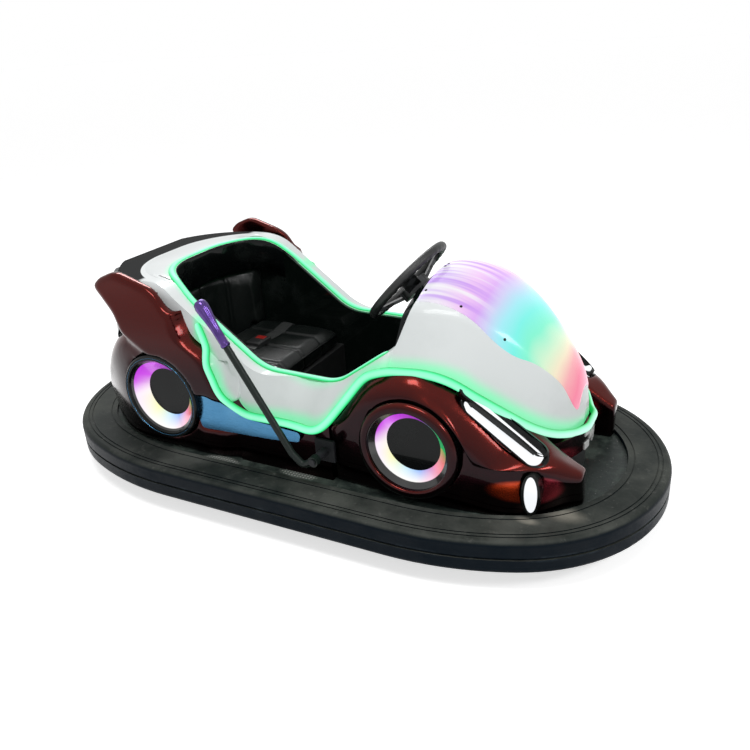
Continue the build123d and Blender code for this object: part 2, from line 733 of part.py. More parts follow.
def lever_bar():
    path = side_path(LEVER_PATH, LEVER_PATH_RADII)
    section = Plane(origin=path @ 0, z_dir=path % 0) * Circle(LEVER_BAR_RADIUS)
    swept = Pos(0, LEVER_PIVOT[1], 0) * sweep(section, path)
    x, y, z = LEVER_PIVOT
    half = LEVER_HUB_WIDTH / 2
    bar_solid = swept + cross_bar(x, z, y - half, y + half, LEVER_HUB_RADIUS)
    return bar_solid - cross_bar(x, z, y - 40, y + 40, LEVER_PIN_RADIUS + PIN_CLEARANCE)


def lever_grip():
    (x0, z0), (x1, z1) = LEVER_PATH[:2]
    length = math.hypot(x1 - x0, z1 - z0)
    along = ((x0 - x1) / length, 0, (z0 - z1) / length)
    profile = [(0, 0)] + [(r, h) for h, r in GRIP_PROFILE] + [(0, GRIP_LENGTH)]
    return turned(profile, (x0, LEVER_PIVOT[1], z0), along)


def lever_bracket():
    x, y, z = LEVER_PIVOT
    length, depth, height = BRACKET_SIZE
    plate = bar(
        (x - length / 2, x + length / 2), (-SILL_OUTER - depth, -SILL_OUTER),
        (z - height / 2, z + height / 2),
    )
    inner_face = y + LEVER_HUB_WIDTH / 2 + 1
    outer_face = y - LEVER_HUB_WIDTH / 2 - 1
    plate += cross_bar(x, z, inner_face, -SILL_OUTER - depth, LEVER_HUB_RADIUS - 3)
    plate += cross_bar(x, z, outer_face - 4, -SILL_OUTER, LEVER_PIN_RADIUS)
    plate += cross_bar(x, z, outer_face - 4, outer_face, LEVER_PIN_RADIUS + 4)
    return plate


def save(name, solid):
    solids = solid.solids()
    shape = solids[0] if len(solids) == 1 else Compound(children=list(solids))
    export_step(shape, f"parts/{name}.step")
    print(name, len(solids), round(sum(s.volume for s in solids) / 1e6, 3), shape.is_valid)


def maroon_clearance():
    """Space that the white shell and the neon on its edge keep from the maroon pieces."""
    gap = NEON_DEPTH + SEAT_GAP
    form = shell_loft(COCKPIT_SECTIONS, -gap) + shell_loft(HOOD_SECTIONS, -gap)
    edge = above_neon(WHITE_REAR_HEIGHT, -NEON_WIDTH / 2 - SEAT_GAP)
    return form & slab(edge, -WIDE, WIDE)


def neon_side(cockpit_cut, hood_cut):
    """Neon strip along the edge of the white shell, round the nose to the other side."""
    band = slab(above_neon(NEON_REAR_TOP[1], -NEON_WIDTH / 2), -WIDE, WIDE)
    band -= slab(above_neon(NEON_REAR_TOP[1], NEON_WIDTH / 2), -WIDE, WIDE)
    band &= bar(
        (NEON_REAR_TOP[0] - NEON_WIDTH / 2, WIDE / 2 + RAIL_FRONT / 2), (-WIDE, WIDE),
        (BODY_BASE, NEON_REAR_TOP[1] + NEON_WIDTH / 2),
    )
    cockpit_skin = shell_loft(COCKPIT_SECTIONS, -NEON_DEPTH) - cockpit_cut
    hood_skin = shell_loft(HOOD_SECTIONS, -NEON_DEPTH) - hood_cut
    return (cockpit_skin & band) + (hood_skin & band)


def neon_rim():
    """Thin neon strip on the land round the cockpit's mouth."""
    ring_solid = upright(tub_outline(-RIM_LAND - RIM_NEON_WIDTH), BODY_BASE, WIDE)
    ring_solid -= upright(tub_outline(-RIM_LAND), BODY_BASE - 1, WIDE + 1)
    band = slab(above_rim(), -WIDE, WIDE) - slab(above_rim(RIM_NEON_HEIGHT), -WIDE, WIDE)
    band &= bar((-NOSE_REACH, RIM_NEON_FRONT), (-WIDE, WIDE), (BODY_BASE, NOSE_REACH))
    return ring_solid & band


def light_panel(hood_cut, open_region):
    plan = FilletPolyline(*[(x, y, 0) for x, y in PANEL_PLAN], radius=PANEL_RADII, close=True)
    skin = shell_loft(HOOD_SECTIONS, -PANEL_THICKNESS) - hood_cut - open_region
    return skin & upright(Face(Wire(plan.edges())), BODY_BASE, WIDE)


def both_sides(solids):
    """One node from left solids and their mirror images."""
    both = [copy for solid in solids for copy in left_right(solid).values()]
    return Compound(children=[s for part in both for s in part.solids()])


def largest(shape):
    return max(shape.solids(), key=lambda s: s.volume)


def fender_nodes(clearance, tub_space):
    """Front and rear fenders with their lamps, wheel lights, fins, sills and trim."""
    inner = bar((-WIDE, WIDE), (0, FENDER_INNER), (0, WIDE))
    front_form = fender_loft(FRONT_FENDER_SECTIONS) - inner - tub_space - clearance
    front_form = largest(front_form - light_pocket(1, "front"))
    rear_form = fender_loft(REAR_FENDER_SECTIONS) - inner
    fin = slab(side_face(FIN_OUTLINE, FIN_RADII), FIN_INNER, FIN_OUTER)
    outer_edges = fin.edges().filter_by(lambda e: abs(e.center().Y - FIN_OUTER) < 1)
    fin = fillet(outer_edges, FIN_EDGE_RADIUS)
    trim_face = side_face(TRIM_OUTLINE, TRIM_RADII)
    trim_pocket = slab(offset(trim_face, SEAT_GAP), TRIM_BACK, WIDE)
    rear = rear_form + fin - tub_space - clearance - light_pocket(1, "rear") - trim_pocket
    pocket = headlight_slot(0, -HEADLIGHT_LENS, WIDE / 4)
    front = front_form - pocket - side_lamp(SIDE_LAMP_BEZEL, SIDE_LAMP_BACK, WIDE)
    bezel_ring = headlight_slot(0, 0, WIDE / 4) - headlight_slot(HEADLIGHT_BEZEL, 0, WIDE / 4)
    lamp_bezel = side_lamp(SIDE_LAMP_BEZEL, SIDE_LAMP_BACK, SIDE_LAMP_FACE + 3)
    lamp_bezel -= side_lamp(0, SIDE_LAMP_BACK, SIDE_LAMP_FACE + 3)
    sill = bar((SILL_REAR, SILL_FRONT), (SILL_INNER, SILL_OUTER), (BODY_BASE, WHITE_REAR_HEIGHT))
    sill -= slab(above_neon(NEON_REAR_TOP[1], -NEON_WIDTH / 2 - SEAT_GAP), -WIDE, WIDE)
    nodes = {}
    for name, solid in (("front_fender", front), ("rear_fender", rear)):
        for side, copy in left_right(largest(solid)).items():
            nodes[f"{name}_{side}"] = copy
    nodes["sills"] = both_sides([largest(sill - trim_pocket)])
    trim = slab(trim_face, TRIM_BACK, TRIM_FACE) - light_pocket(1, "rear")
    nodes["side_trims"] = both_sides([largest(trim)])
    headlight_lens = largest(headlight_slot(0, -HEADLIGHT_LENS, 0) - clearance)
    side_lens = side_lamp(0, SIDE_LAMP_BACK, SIDE_LAMP_FACE)
    nodes["lamp_lenses"] = both_sides([headlight_lens, side_lens])
    nodes["lamp_bezels"] = both_sides([largest(bezel_ring & front_form), lamp_bezel])
    nodes["wheel_light_rings"] = both_sides([light_ring(1, row) for row in LIGHT_CENTRES])
    nodes["wheel_light_housings"] = both_sides([light_housing(1, row) for row in LIGHT_CENTRES])
    return nodes


def nose_nodes(clearance):
    """Maroon lip under the neon, dark grille below it and the chequer blocks."""
    between = bar((0, WIDE), (-FENDER_INNER + SEAT_GAP, FENDER_INNER - SEAT_GAP), (0, WIDE))
    hollow = upright(nose_plan(LIP_DEPTH), 0, WIDE)
    lip = upright(nose_plan(0), LIP_BOTTOM, LIP_TOP) - hollow
    grille = upright(nose_plan(GRILLE_INSET), BODY_BASE, LIP_BOTTOM) - hollow
    lip = largest((lip & between) - clearance)
    blocks = [s for block in chequers() for s in (block - upright(nose_plan(0), 0, WIDE)).solids()]
    return {
        "nose_lip": lip,
        "nose_grille": largest(grille & between),
        "chequer_blocks": Compound(children=blocks),
    }


def tail_nodes(cockpit_cut):
    """Maroon tail between the rear fenders and the black cover above them."""
    half = FENDER_INNER - SEAT_GAP
    tail_face = side_face(TAIL_OUTLINE, TAIL_RADII)
    tail = slab(tail_face, -half, half)
    tail -= Pos(TAIL_WALL, 0, -TAIL_WALL) * slab(tail_face, -half + TAIL_WALL, half - TAIL_WALL)
    tail -= cockpit_cut
    cover = shell_loft(COCKPIT_SECTIONS[:5], -COVER_DEPTH) - cockpit_cut
    cover &= slab(side_face(COVER_OUTLINE, [0] * len(COVER_OUTLINE)), -FIN_INNER + 1, FIN_INNER - 1)
    return {"tail_panel": largest(tail), "rear_cover": largest(cover)}


def body_nodes():
    """Outer shells: white upper shell with its lights, and the maroon pieces."""
    nodes = {}
    white_region = slab(above_neon(WHITE_REAR_HEIGHT), -WIDE, WIDE)
    open_region = slab(above_rim(), -WIDE, WIDE)
    tub_space = upright(tub_outline(0), 0, WIDE)
    cockpit_form = shell_loft(COCKPIT_SECTIONS)
    hood_form = shell_loft(HOOD_SECTIONS)
    cockpit_cut = shell_loft(COCKPIT_SECTIONS, -SEAT_GAP)
    hood_cut = shell_loft(HOOD_SECTIONS, -SEAT_GAP)
    hood_inside = shell_loft(HOOD_SECTIONS, SHELL_WALL)
    nodes["cockpit_surround"] = (cockpit_form & white_region) - tub_space - open_region
    nodes["hood_shell"] = (hood_form & white_region) - hood_inside - open_region
    nodes["hood_light_panel"] = light_panel(hood_cut, open_region)
    nodes["neon_side"] = neon_side(cockpit_cut, hood_cut)
    nodes["neon_rim"] = neon_rim()
    clearance = maroon_clearance()
    nodes.update(fender_nodes(clearance, tub_space))
    nodes.update(nose_nodes(clearance))
    nodes.update(tail_nodes(cockpit_cut))
    dash = shell_loft(HOOD_SECTIONS, SHELL_WALL + SEAT_GAP) & bar(
        (HOOD_SPLIT, HOOD_SPLIT + DASH_THICKNESS), (-WIDE, WIDE), (DASH_BOTTOM, WIDE)
    )
    dash -= rod(column_point(0), column_point(COLUMN_LENGTH), COLUMN_RADIUS + COLUMN_CLEARANCE)
    nodes["dash_panel"] = dash
    return nodes


def cockpit_nodes():
    """Tub, seat, belt and console."""
    nodes = {}
    tub = upright(tub_outline(0), TUB_FLOOR - TUB_WALL, WIDE)
    tub -= upright(tub_outline(TUB_WALL), TUB_FLOOR, WIDE + 1)
    nodes["cockpit_tub"] = tub - slab(above_rim(-2), -WIDE, WIDE)
    seat_plan = bar((SEAT_REAR - 100, SEAT_FRONT), (-WIDE, WIDE), (TUB_FLOOR, SEAT_BASE_TOP))
    nodes["seat_base"] = seat_plan & upright(tub_outline(TUB_WALL), TUB_FLOOR, SEAT_BASE_TOP)
    cushion_bottom = SEAT_BASE_TOP + SEAT_GAP
    cushion = bar(
        (SEAT_REAR, SEAT_FRONT), (-SEAT_HALF_WIDTH, SEAT_HALF_WIDTH),
        (cushion_bottom, cushion_bottom + CUSHION_THICKNESS),
    )
    nodes["seat_cushion"] = fillet(cushion.edges(), CUSHION_RADIUS)
    back_bottom = SEAT_BASE_TOP + SEAT_GAP
    back = upright(tub_outline(TUB_WALL + SEAT_GAP), back_bottom, BACK_TOP)
    back -= upright(tub_outline(TUB_WALL + SEAT_GAP + BACK_THICKNESS), back_bottom - 1, BACK_TOP + 1)
    back &= bar((-WIDE, SEAT_REAR + 30), (-WIDE, WIDE), (back_bottom, BACK_TOP))
    back -= bar(
        (SEAT_REAR - SEAT_GAP, SEAT_FRONT), (-WIDE, WIDE),
        (back_bottom - 1, cushion_bottom + CUSHION_THICKNESS + SEAT_GAP),
    )
    nodes["seat_back"] = back
    belt_bottom = cushion_bottom + CUSHION_THICKNESS + SEAT_GAP
    half = BUCKLE_SIZE[1] / 2
    straps = []
    for side in (-1, 1):
        reach = sorted((side * BELT_REACH, side * half))
        straps.append(bar(
            (BELT_X - BELT_WIDTH / 2, BELT_X + BELT_WIDTH / 2), reach,
            (belt_bottom, belt_bottom + BELT_THICKNESS),
        ))
    nodes["belt_straps"] = Compound(children=[s for strap in straps for s in strap.solids()])
    length, width, height = BUCKLE_SIZE
    buckle = bar(
        (BELT_X - length / 2, BELT_X + length / 2), (-half, half), (belt_bottom, belt_bottom + height)
    )
    nodes["belt_buckle"] = fillet(buckle.edges().filter_by(Axis.Z), 6)
    front = TUB_FRONT - TUB_WALL
    length, width, height = CONSOLE_SIZE
    console = bar(
        (front - length, front), (-width / 2, width / 2), (CONSOLE_BOTTOM, CONSOLE_BOTTOM + height)
    )
    rear_edges = console.edges().filter_by(lambda e: abs(e.center().X - (front - length)) < 1)
    nodes["dash_console"] = fillet(rear_edges, 20)
    return nodes


def chassis_nodes():
    nodes = {
        "bumper_ring": bumper_ring(),
        "bumper_carrier": bumper_carrier(),
        "chassis_frame": chassis_frame(),
        "rear_axle": rear_axle(),
        "steering_bridge": steering_bridge(),
        "lever_bracket": lever_bracket(),
    }
    floor = bar(
        (TUB_REAR - 130, TUB_FRONT), (-TUB_HALF_WIDTH + 2, TUB_HALF_WIDTH - 2),
        (RAIL_TOP, RAIL_TOP + DECK_THICKNESS),
    )
    nodes["floor_pan"] = floor - nodes["bumper_carrier"]
    length, width, height = BATTERY_SIZE
    base = RAIL_TOP + DECK_THICKNESS
    nodes["battery_pack"] = bar(
        (BATTERY_X - length / 2, BATTERY_X + length / 2), (-width / 2, width / 2), (base, base + height)
    )
    return nodes


def moving_nodes():
    nodes = {}
    for side, sign in (("left", 1), ("right", -1)):
        centre = (REAR_WHEEL_X, sign * REAR_WHEEL_TRACK / 2, REAR_WHEEL_RADIUS)
        nodes[f"rear_tyre_{side}"] = tyre(centre, REAR_WHEEL_RADIUS, REAR_WHEEL_WIDTH, TYRE_DEPTH)
        nodes[f"rear_hub_{side}"] = wheel_hub(
            centre, REAR_WHEEL_RADIUS - TYRE_DEPTH, REAR_WHEEL_WIDTH, AXLE_RADIUS + PIN_CLEARANCE
        )
    centre = (FRONT_WHEEL_X, 0, FRONT_WHEEL_RADIUS)
    nodes["front_tyre"] = tyre(centre, FRONT_WHEEL_RADIUS, FRONT_WHEEL_WIDTH, TYRE_DEPTH)
    nodes["front_hub"] = wheel_hub(
        centre, FRONT_WHEEL_RADIUS - TYRE_DEPTH, FRONT_WHEEL_WIDTH, AXLE_RADIUS + PIN_CLEARANCE
    )
    nodes["fork"] = fork()
    nodes["steering_column"] = steering_column()
    nodes["steering_rim"] = steering_rim()
    nodes["steering_hub"] = steering_hub()
    nodes["lever_bar"] = lever_bar()
    nodes["lever_grip"] = lever_grip()
    return nodes


def main():
    os.makedirs("parts", exist_ok=True)
    for group in (chassis_nodes(), body_nodes(), cockpit_nodes(), moving_nodes()):
        for name, solid in group.items():
            save(name, solid)


main()
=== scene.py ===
import json
import math

import bmesh
import bpy
from mathutils import Matrix, Vector
from mathutils.bvhtree import BVHTree


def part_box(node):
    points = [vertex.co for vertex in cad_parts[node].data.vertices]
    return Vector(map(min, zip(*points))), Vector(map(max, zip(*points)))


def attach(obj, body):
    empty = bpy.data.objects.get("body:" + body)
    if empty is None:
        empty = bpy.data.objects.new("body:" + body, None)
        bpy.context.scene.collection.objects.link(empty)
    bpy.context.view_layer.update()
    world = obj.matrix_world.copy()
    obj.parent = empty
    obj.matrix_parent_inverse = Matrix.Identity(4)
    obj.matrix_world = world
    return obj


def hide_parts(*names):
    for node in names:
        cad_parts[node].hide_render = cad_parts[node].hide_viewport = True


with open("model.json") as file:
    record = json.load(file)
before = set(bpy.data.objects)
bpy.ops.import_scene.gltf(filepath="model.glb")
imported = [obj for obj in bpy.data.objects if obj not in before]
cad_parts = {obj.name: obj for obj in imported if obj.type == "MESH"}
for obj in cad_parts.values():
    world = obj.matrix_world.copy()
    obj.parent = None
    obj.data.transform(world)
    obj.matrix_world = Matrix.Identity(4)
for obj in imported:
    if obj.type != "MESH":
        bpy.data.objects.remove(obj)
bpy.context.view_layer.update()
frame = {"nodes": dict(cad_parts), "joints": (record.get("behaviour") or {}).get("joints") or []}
NODES = frame["nodes"]

# Camera, as fitted to the photograph
CAMERA_AZIMUTH = math.radians(28.10)
CAMERA_ELEVATION = math.radians(24.70)
CAMERA_ROLL = math.radians(-3.43)
CAMERA_PLACE = Vector((1.098, -1.864, 1.287))
CAMERA_LENS = 36.48
SENSOR = 36.0

# Strength of the world light that falls on the object
SOFT_LIGHT = 0.38

# Side view of the neon lines on the shell, in metres, with the radii of their corners
NEON_LINE = (
    (-0.290, 0.550), (-0.187, 0.316), (0.125, 0.312), (0.255, 0.490), (0.435, 0.497), (0.735, 0.284),
)
NEON_RADII = (0.120, 0.090, 0.080, 0.200, 0.100)
RIM_LINE = ((-0.410, 0.650), (-0.110, 0.418), (0.130, 0.412), (0.305, 0.538), (0.334, 0.655))
RIM_RADII = (0.150, 0.150, 0.120, 0.030)

# X of the rim line's level end, and of the point that the strip turns about at the nose
REAR_END = -0.9
NOSE_CENTRE = 0.62

# Half width and thickness of the neon strips
NEON_TUBE = (0.0115, 0.012)
RIM_TUBE = (0.0105, 0.0065)

# Plans of the cockpit's neon line, white land and black cover: half width, rear end and front end
RIM_PLAN = (0.264, -0.518, 0.285)
RIM_CORNER = 0.219
LAND_PLAN = (0.270, -0.628, 0.285)
COVER_PLAN = (0.296, -0.628, 0.285)
COVER_CORNER = 0.250

# Headlights: middle of the left one's plane, its fall and tilt, sizes of loop and lens
HEADLIGHT_CENTRE = Vector((0.596, 0.268, 0.361))
HEADLIGHT_FALL = math.radians(36.0)
HEADLIGHT_TILT = math.radians(26.0)
LOOP_SIZE = (0.268, 0.074)
GLASS_SIZE = (0.238, 0.052)
GLASS_SHIFT = 0.009

# How far below and above a headlight's plane the surface under its loop and lens may lie
HEIGHT_LIMITS = (-0.002, 0.024)

# Lever grip, along its axis: distance and radius
GRIP_ROWS = (
    (0.0, 0.0115), (0.004, 0.0135), (0.008, 0.0135), (0.011, 0.012), (0.060, 0.0125), (0.085, 0.015),
    (0.105, 0.0178), (0.122, 0.0192), (0.133, 0.0172), (0.140, 0.0112), (0.142, 0.0),
)
GRIP_FLUTES = 8
GRIP_FLUTE_DEPTH = 0.14

# Screws round the hood's light panel: x and y of the left ones
SCREW_RADIUS = 0.0042
SCREW_PLACES = (
    (0.345, 0.012), (0.344, 0.145), (0.450, 0.171), (0.563, 0.164), (0.640, 0.133), (0.700, 0.096),
    (0.738, 0.022),
)

# Seat: mesh size of the pads, y of their seams
PAD_VOXEL = 0.006
SEAT_SEAMS = (-0.112, 0.0, 0.112)

# Lap belt: y of each strap's ends, and how far out the cushion carries it
STRAP_RUN = (0.034, 0.229)
PAD_REACH = 0.212
DOWN = Vector((0, 0, -1))

# Places on the ring with painted reflections of the front lights, and on the deck with pale tread plate
# that also paints a pool of light, with half sizes
RING_TOP = 0.153
GROOVE_HEIGHT = 0.1055
PAINTED_REFLECTION_PLACES = (((0.752, -0.270), (0.075, 0.045)), ((0.680, -0.330), (0.040, 0.020)))
DECK_TOP = 0.141
TREAD_AND_LIGHT_PLACES = (((-0.235, -0.366), (0.075, 0.030)), ((0.020, -0.343), (0.070, 0.020)))

# Radians for each metre in patterns that run as a wave
TREAD_PITCH = 330.0
WEAVE_PITCH = 2600.0
LENS_RIB_PITCH = 900.0
TYRE_RIB_PITCH = 700.0

# Names of the two sides, with the sign of y on each
SIDES = (("left", 1), ("right", -1))

# Wheel lights: the CAD ring, how far out its light shows at the rear and the front, the bezels' face
RING_RADIUS = 0.114
RING_INNER = 0.076
LIT_RADII = (0.108, 0.098)
BEZEL_FACE = 0.364
FRONT_LIGHT = (0.373, 0.300)

# Fenders: mesh size, rounds of smoothing, fin, and the front ones' crown and outer shoulder
FENDER_VOXEL = 0.006
REAR_ROUNDS = 14
FRONT_ROUNDS = 10
FIN_DRAW = 0.052
FIN_INNER = 0.3
FIN_MIDDLE = 0.337
FIN_THINNING = 0.4
CROWN_LIFT = 0.020
SHOULDER_DROP = 0.095

# White part of the rear fenders: its face, its top, and the leaning shell side that it leads to
WHITE_FACE = 0.350
WHITE_TOP = 0.570
SHELL_FOOT = (0.34, 0.346)
SHELL_LEAN = 0.32
SHELL_LAP = 0.035

# Steering wheel
RIM_RADIUS = 0.134
RIM_TUBE_RADIUS = 0.0125
WHEEL_DISH = 0.042
HUB_DEPTH = 0.026
CHEQUER_SQUARE = 0.026

# Side lamps: middle, and the hollows behind and before them with their half sizes, all in side view
SIDE_LAMP = (0.684, 0.222)
HOLLOWS = ((0.676, 0.110, 0.038), (0.694, 0.064, 0.046))
# Painted light inside the hollows, which are not built: orange behind the lamp, crimson before it
HOLLOW_LIGHT_COLOURS = ((0.50, 0.050, 0.012), (0.42, 0.036, 0.060))


def linear_step(value, low, high):
    """How far value is on its way from low to high, from 0 to 1."""
    return min(max((value - low) / (high - low), 0.0), 1.0)


def smooth_step(value, low, high):
    """Goes from 0 to 1 as value goes from low to high, with a smooth start and end."""
    part = linear_step(value, low, high)
    return part * part * (3 - 2 * part)


def make_camera():
    sin_az, cos_az = math.sin(CAMERA_AZIMUTH), math.cos(CAMERA_AZIMUTH)
    sin_el, cos_el = math.sin(CAMERA_ELEVATION), math.cos(CAMERA_ELEVATION)
    back = Vector((sin_az * cos_el, -cos_az * cos_el, sin_el))
    right = Vector((cos_az, sin_az, 0))
    up = back.cross(right)
    sin_roll, cos_roll = math.sin(CAMERA_ROLL), math.cos(CAMERA_ROLL)
    right, up = cos_roll * right + sin_roll * up, cos_roll * up - sin_roll * right
    turn = Matrix((right, up, back)).transposed().to_4x4()
    data = bpy.data.cameras.new("camera")
    data.lens = CAMERA_LENS
    data.sensor_width = SENSOR
    camera = bpy.data.objects.new("camera", data)
    camera.matrix_world = Matrix.Translation(CAMERA_PLACE) @ turn
    bpy.context.scene.collection.objects.link(camera)
    bpy.context.scene.camera = camera


class Nodes:
    """Short ways to add nodes to a tree."""

    def __init__(self, tree):
        self.tree = tree

    def fill(self, socket, value):
        if isinstance(value, bpy.types.NodeSocket):
            self.tree.links.new(value, socket)
        elif socket.type == "RGBA" and len(value) == 3:
            socket.default_value = (*value, 1.0)
        else:
            socket.default_value = value

    def node(self, kind, inputs=None, **settings):
        made = self.tree.nodes.new(kind)
        for key, value in settings.items():
            setattr(made, key, value)
        for key, value in (inputs or {}).items():
            self.fill(made.inputs[key], value)
        return made

    def math(self, operation, first, second=0.0, clamp=False):
        made = self.node(
            "ShaderNodeMath", {0: first, 1: second}, operation=operation, use_clamp=clamp
        )
        return made.outputs[0]

    def add(self, first, second):
        return self.math("ADD", first, second)

    def sub(self, first, second):
        return self.math("SUBTRACT", first, second)

    def mul(self, first, second):
        return self.math("MULTIPLY", first, second)

    def div(self, first, second, clamp=False):
        return self.math("DIVIDE", first, second, clamp=clamp)

    def most(self, first, second):
        return self.math("MAXIMUM", first, second)

    def hypot(self, first, second):
        return self.math("SQRT", self.add(self.mul(first, first), self.mul(second, second)))


class Shader(Nodes):
    """A material with one principled shader."""

    def __init__(self, name, **values):
        self.material = bpy.data.materials.new(name)
        self.material.use_nodes = True
        super().__init__(self.material.node_tree)
        self.bsdf = self.tree.nodes["Principled BSDF"]
        for key, value in values.items():
            self.set(key.replace("_", " "), value)

    def set(self, key, value):
        """Sets or links one socket of the principled shader."""
        self.fill(self.bsdf.inputs[key], value)

    def place(self, scale=(1, 1, 1), shift=(0, 0, 0)):
        """Position on the piece, in the frame's metres, scaled and shifted."""
        coords = self.node("ShaderNodeTexCoord")
        mapped = self.node(
            "ShaderNodeMapping",
            {"Vector": coords.outputs["Object"], "Scale": scale, "Location": shift},
        )
        return mapped.outputs["Vector"]

    def noise(self, scale, detail, rough=0.55, vector=None):
        made = self.node(
            "ShaderNodeTexNoise",
            {"Scale": scale, "Detail": detail, "Roughness": rough, "Vector": vector or self.place()},
        )
        return made.outputs["Fac"]

    def spread(self, value, low, high, to_low=0.0, to_high=1.0, smooth=True):
        """Takes value from low..high to to_low..to_high, and stays inside them."""
        made = self.node(
            "ShaderNodeMapRange",
            {"Value": value, "From Min": low, "From Max": high, "To Min": to_low, "To Max": to_high},
            interpolation_type="SMOOTHSTEP" if smooth else "LINEAR",
        )
        return made.outputs["Result"]

    def mix(self, factor, first, second):
        made = self.node("ShaderNodeMix", data_type="RGBA")
        for slot, value in ((0, factor), (6, first), (7, second)):
            self.fill(made.inputs[slot], value)
        return made.outputs[2]

    def ramp(self, value, stops):
        made = self.node("ShaderNodeValToRGB", {"Fac": value})
        ramp = made.color_ramp
        while len(ramp.elements) > 1:
            ramp.elements.remove(ramp.elements[-1])
        ramp.elements[0].position = stops[0][0]
        ramp.elements[0].color = (*stops[0][1], 1.0)
        for position, colour in stops[1:]:
            ramp.elements.new(position).color = (*colour, 1.0)
        return made.outputs["Color"]

    def bump(self, height, strength, distance):
        made = self.node(
            "ShaderNodeBump", {"Height": height, "Strength": strength, "Distance": distance}
        )
        self.set("Normal", made.outputs["Normal"])

    def blob(self, centre, size, soft=0.8):
        """One inside an ellipsoid on the piece, falling to nothing at its edge."""
        scale = tuple(1 / s for s in size)
        shift = tuple(-c / s for c, s in zip(centre, size))
        reach = self.node(
            "ShaderNodeVectorMath", {0: self.place(scale=scale, shift=shift)}, operation="LENGTH"
        )
        return self.spread(reach.outputs["Value"], 1.0, 1.0 - soft)

    def curve(self, value, points):
        """Takes value along a smooth curve through points, all of them from 0 to 1."""
        made = self.node("ShaderNodeFloatCurve", {"Value": value})
        row = made.mapping.curves[0].points
        for point in points[2:]:
            row.new(*point)
        for slot, point in zip(row, points):
            slot.location = point
        made.mapping.update()
        return made.outputs["Value"]

    def split(self, vector):
        return self.node("ShaderNodeSeparateXYZ", {"Vector": vector}).outputs

    def axes(self, names):
        """The named coordinates of the position on the piece."""
        parts = self.split(self.place())
        return [parts[name] for name in names]

    def upward(self):
        """How far the surface faces up, from -1 to 1, on the piece at rest."""
        geometry = self.node("ShaderNodeNewGeometry")
        return self.split(geometry.outputs["Normal"])["Z"]


def bumper_rubber():
    """Worn grey top with dust and two painted reflections of the front lights, near-black navy side
    with a scuffed groove.
    """
    s = Shader("bumper_rubber", Specular_IOR_Level=0.07)
    (z,) = s.axes("Z")
    up = s.spread(s.upward(), 0.3, 0.9)
    patches = s.spread(s.noise(4.5, 6, 0.6), 0.35, 0.72)
    grain = s.noise(260, 3, 0.7)
    streaks = s.noise(1.0, 6, 0.65, s.place(scale=(9, 9, 260)))
    top = s.mix(patches, (0.016, 0.020, 0.018), (0.080, 0.085, 0.076))
    dust = s.spread(s.noise(38, 5, 0.7), 0.56, 0.8, 0.0, 0.5)
    top = s.mix(dust, top, (0.15, 0.152, 0.14))
    # Pale cream patches on the top are painted reflections of the front lights
    for centre, size in PAINTED_REFLECTION_PLACES:
        place = s.blob((*centre, RING_TOP), (*size, 0.05))
        painted_reflection = s.mul(place, s.spread(streaks, 0.3, 0.6, 0.3, 0.85))
        top = s.mix(painted_reflection, top, (0.26, 0.25, 0.21))
    side = s.mix(s.spread(streaks, 0.5, 0.75, 0, 0.6), (0.0010, 0.0040, 0.0075), (0.005, 0.010, 0.014))
    near_groove = s.spread(s.math("ABSOLUTE", s.sub(z, GROOVE_HEIGHT)), 0.011, 0.003)
    scuff = s.mul(near_groove, s.spread(s.noise(14, 6, 0.7), 0.45, 0.7, 0, 0.7))
    side = s.mix(scuff, side, (0.030, 0.042, 0.052))
    s.set("Base Color", s.mix(up, side, top))
    s.set("Roughness", s.spread(patches, 0, 1, 0.4, 0.68))
    height = s.add(s.mul(grain, 0.5), s.noise(45, 5, 0.6))
    s.bump(height, 0.35, 0.0012)
    return s.material


def worn_and_lit_deck():
    """Dark matting on the deck with dried dirt, worn down to a pale tread plate in two places, where
    the pale plate also paints a pool of the wheel lights' glow.
    """
    s = Shader("worn_and_lit_deck", Specular_IOR_Level=0.2)
    x, y = s.axes("XY")
    dirt = s.spread(s.noise(7, 8, 0.66), 0.42, 0.68)
    speck = s.spread(s.noise(120, 3, 0.7), 0.62, 0.74)
    base = s.mix(dirt, (0.016, 0.022, 0.020), (0.085, 0.108, 0.092))
    base = s.mix(speck, base, (0.15, 0.15, 0.14))
    waves = [s.math("SINE", s.mul(way, TREAD_PITCH)) for way in (s.add(x, y), s.sub(x, y))]
    tread = s.spread(s.mul(*waves), 0.25, 0.55)
    plate_and_light = 0.0
    # The two pale tread-plate patches also stand for painted light from the wheel lights
    for centre, size in TREAD_AND_LIGHT_PLACES:
        plate_and_light = s.most(plate_and_light, s.blob((*centre, DECK_TOP), (*size, 0.05), 0.4))
    plate = s.mix(tread, (0.13, 0.14, 0.13), (0.42, 0.43, 0.40))
    s.set("Base Color", s.mix(plate_and_light, base, plate))
    s.set("Roughness", s.spread(dirt, 0, 1, 0.4, 0.8))
    wrinkle = s.noise(1.0, 5, 0.6, s.place(scale=(30, 55, 30)))
    height = s.add(s.mul(s.noise(90, 6, 0.6), 0.35), wrinkle)
    s.bump(s.add(height, s.mul(s.mul(tread, plate_and_light), 0.8)), 0.6, 0.002)
    return s.material


def painted_steel(name, colour, roughness=0.5):
    """Painted steel, worn brown in places."""
    s = Shader(name, Specular_IOR_Level=0.2)
    wear = s.spread(s.noise(30, 6, 0.65), 0.6, 0.75, 0, 0.4)
    s.set("Base Color", s.mix(wear, colour, (0.08, 0.062, 0.05)))
    s.set("Roughness", s.spread(s.noise(12, 4), 0.3, 0.7, roughness - 0.12, roughness + 0.15))
    s.bump(s.noise(400, 2), 0.2, 0.0006)
    return s.material


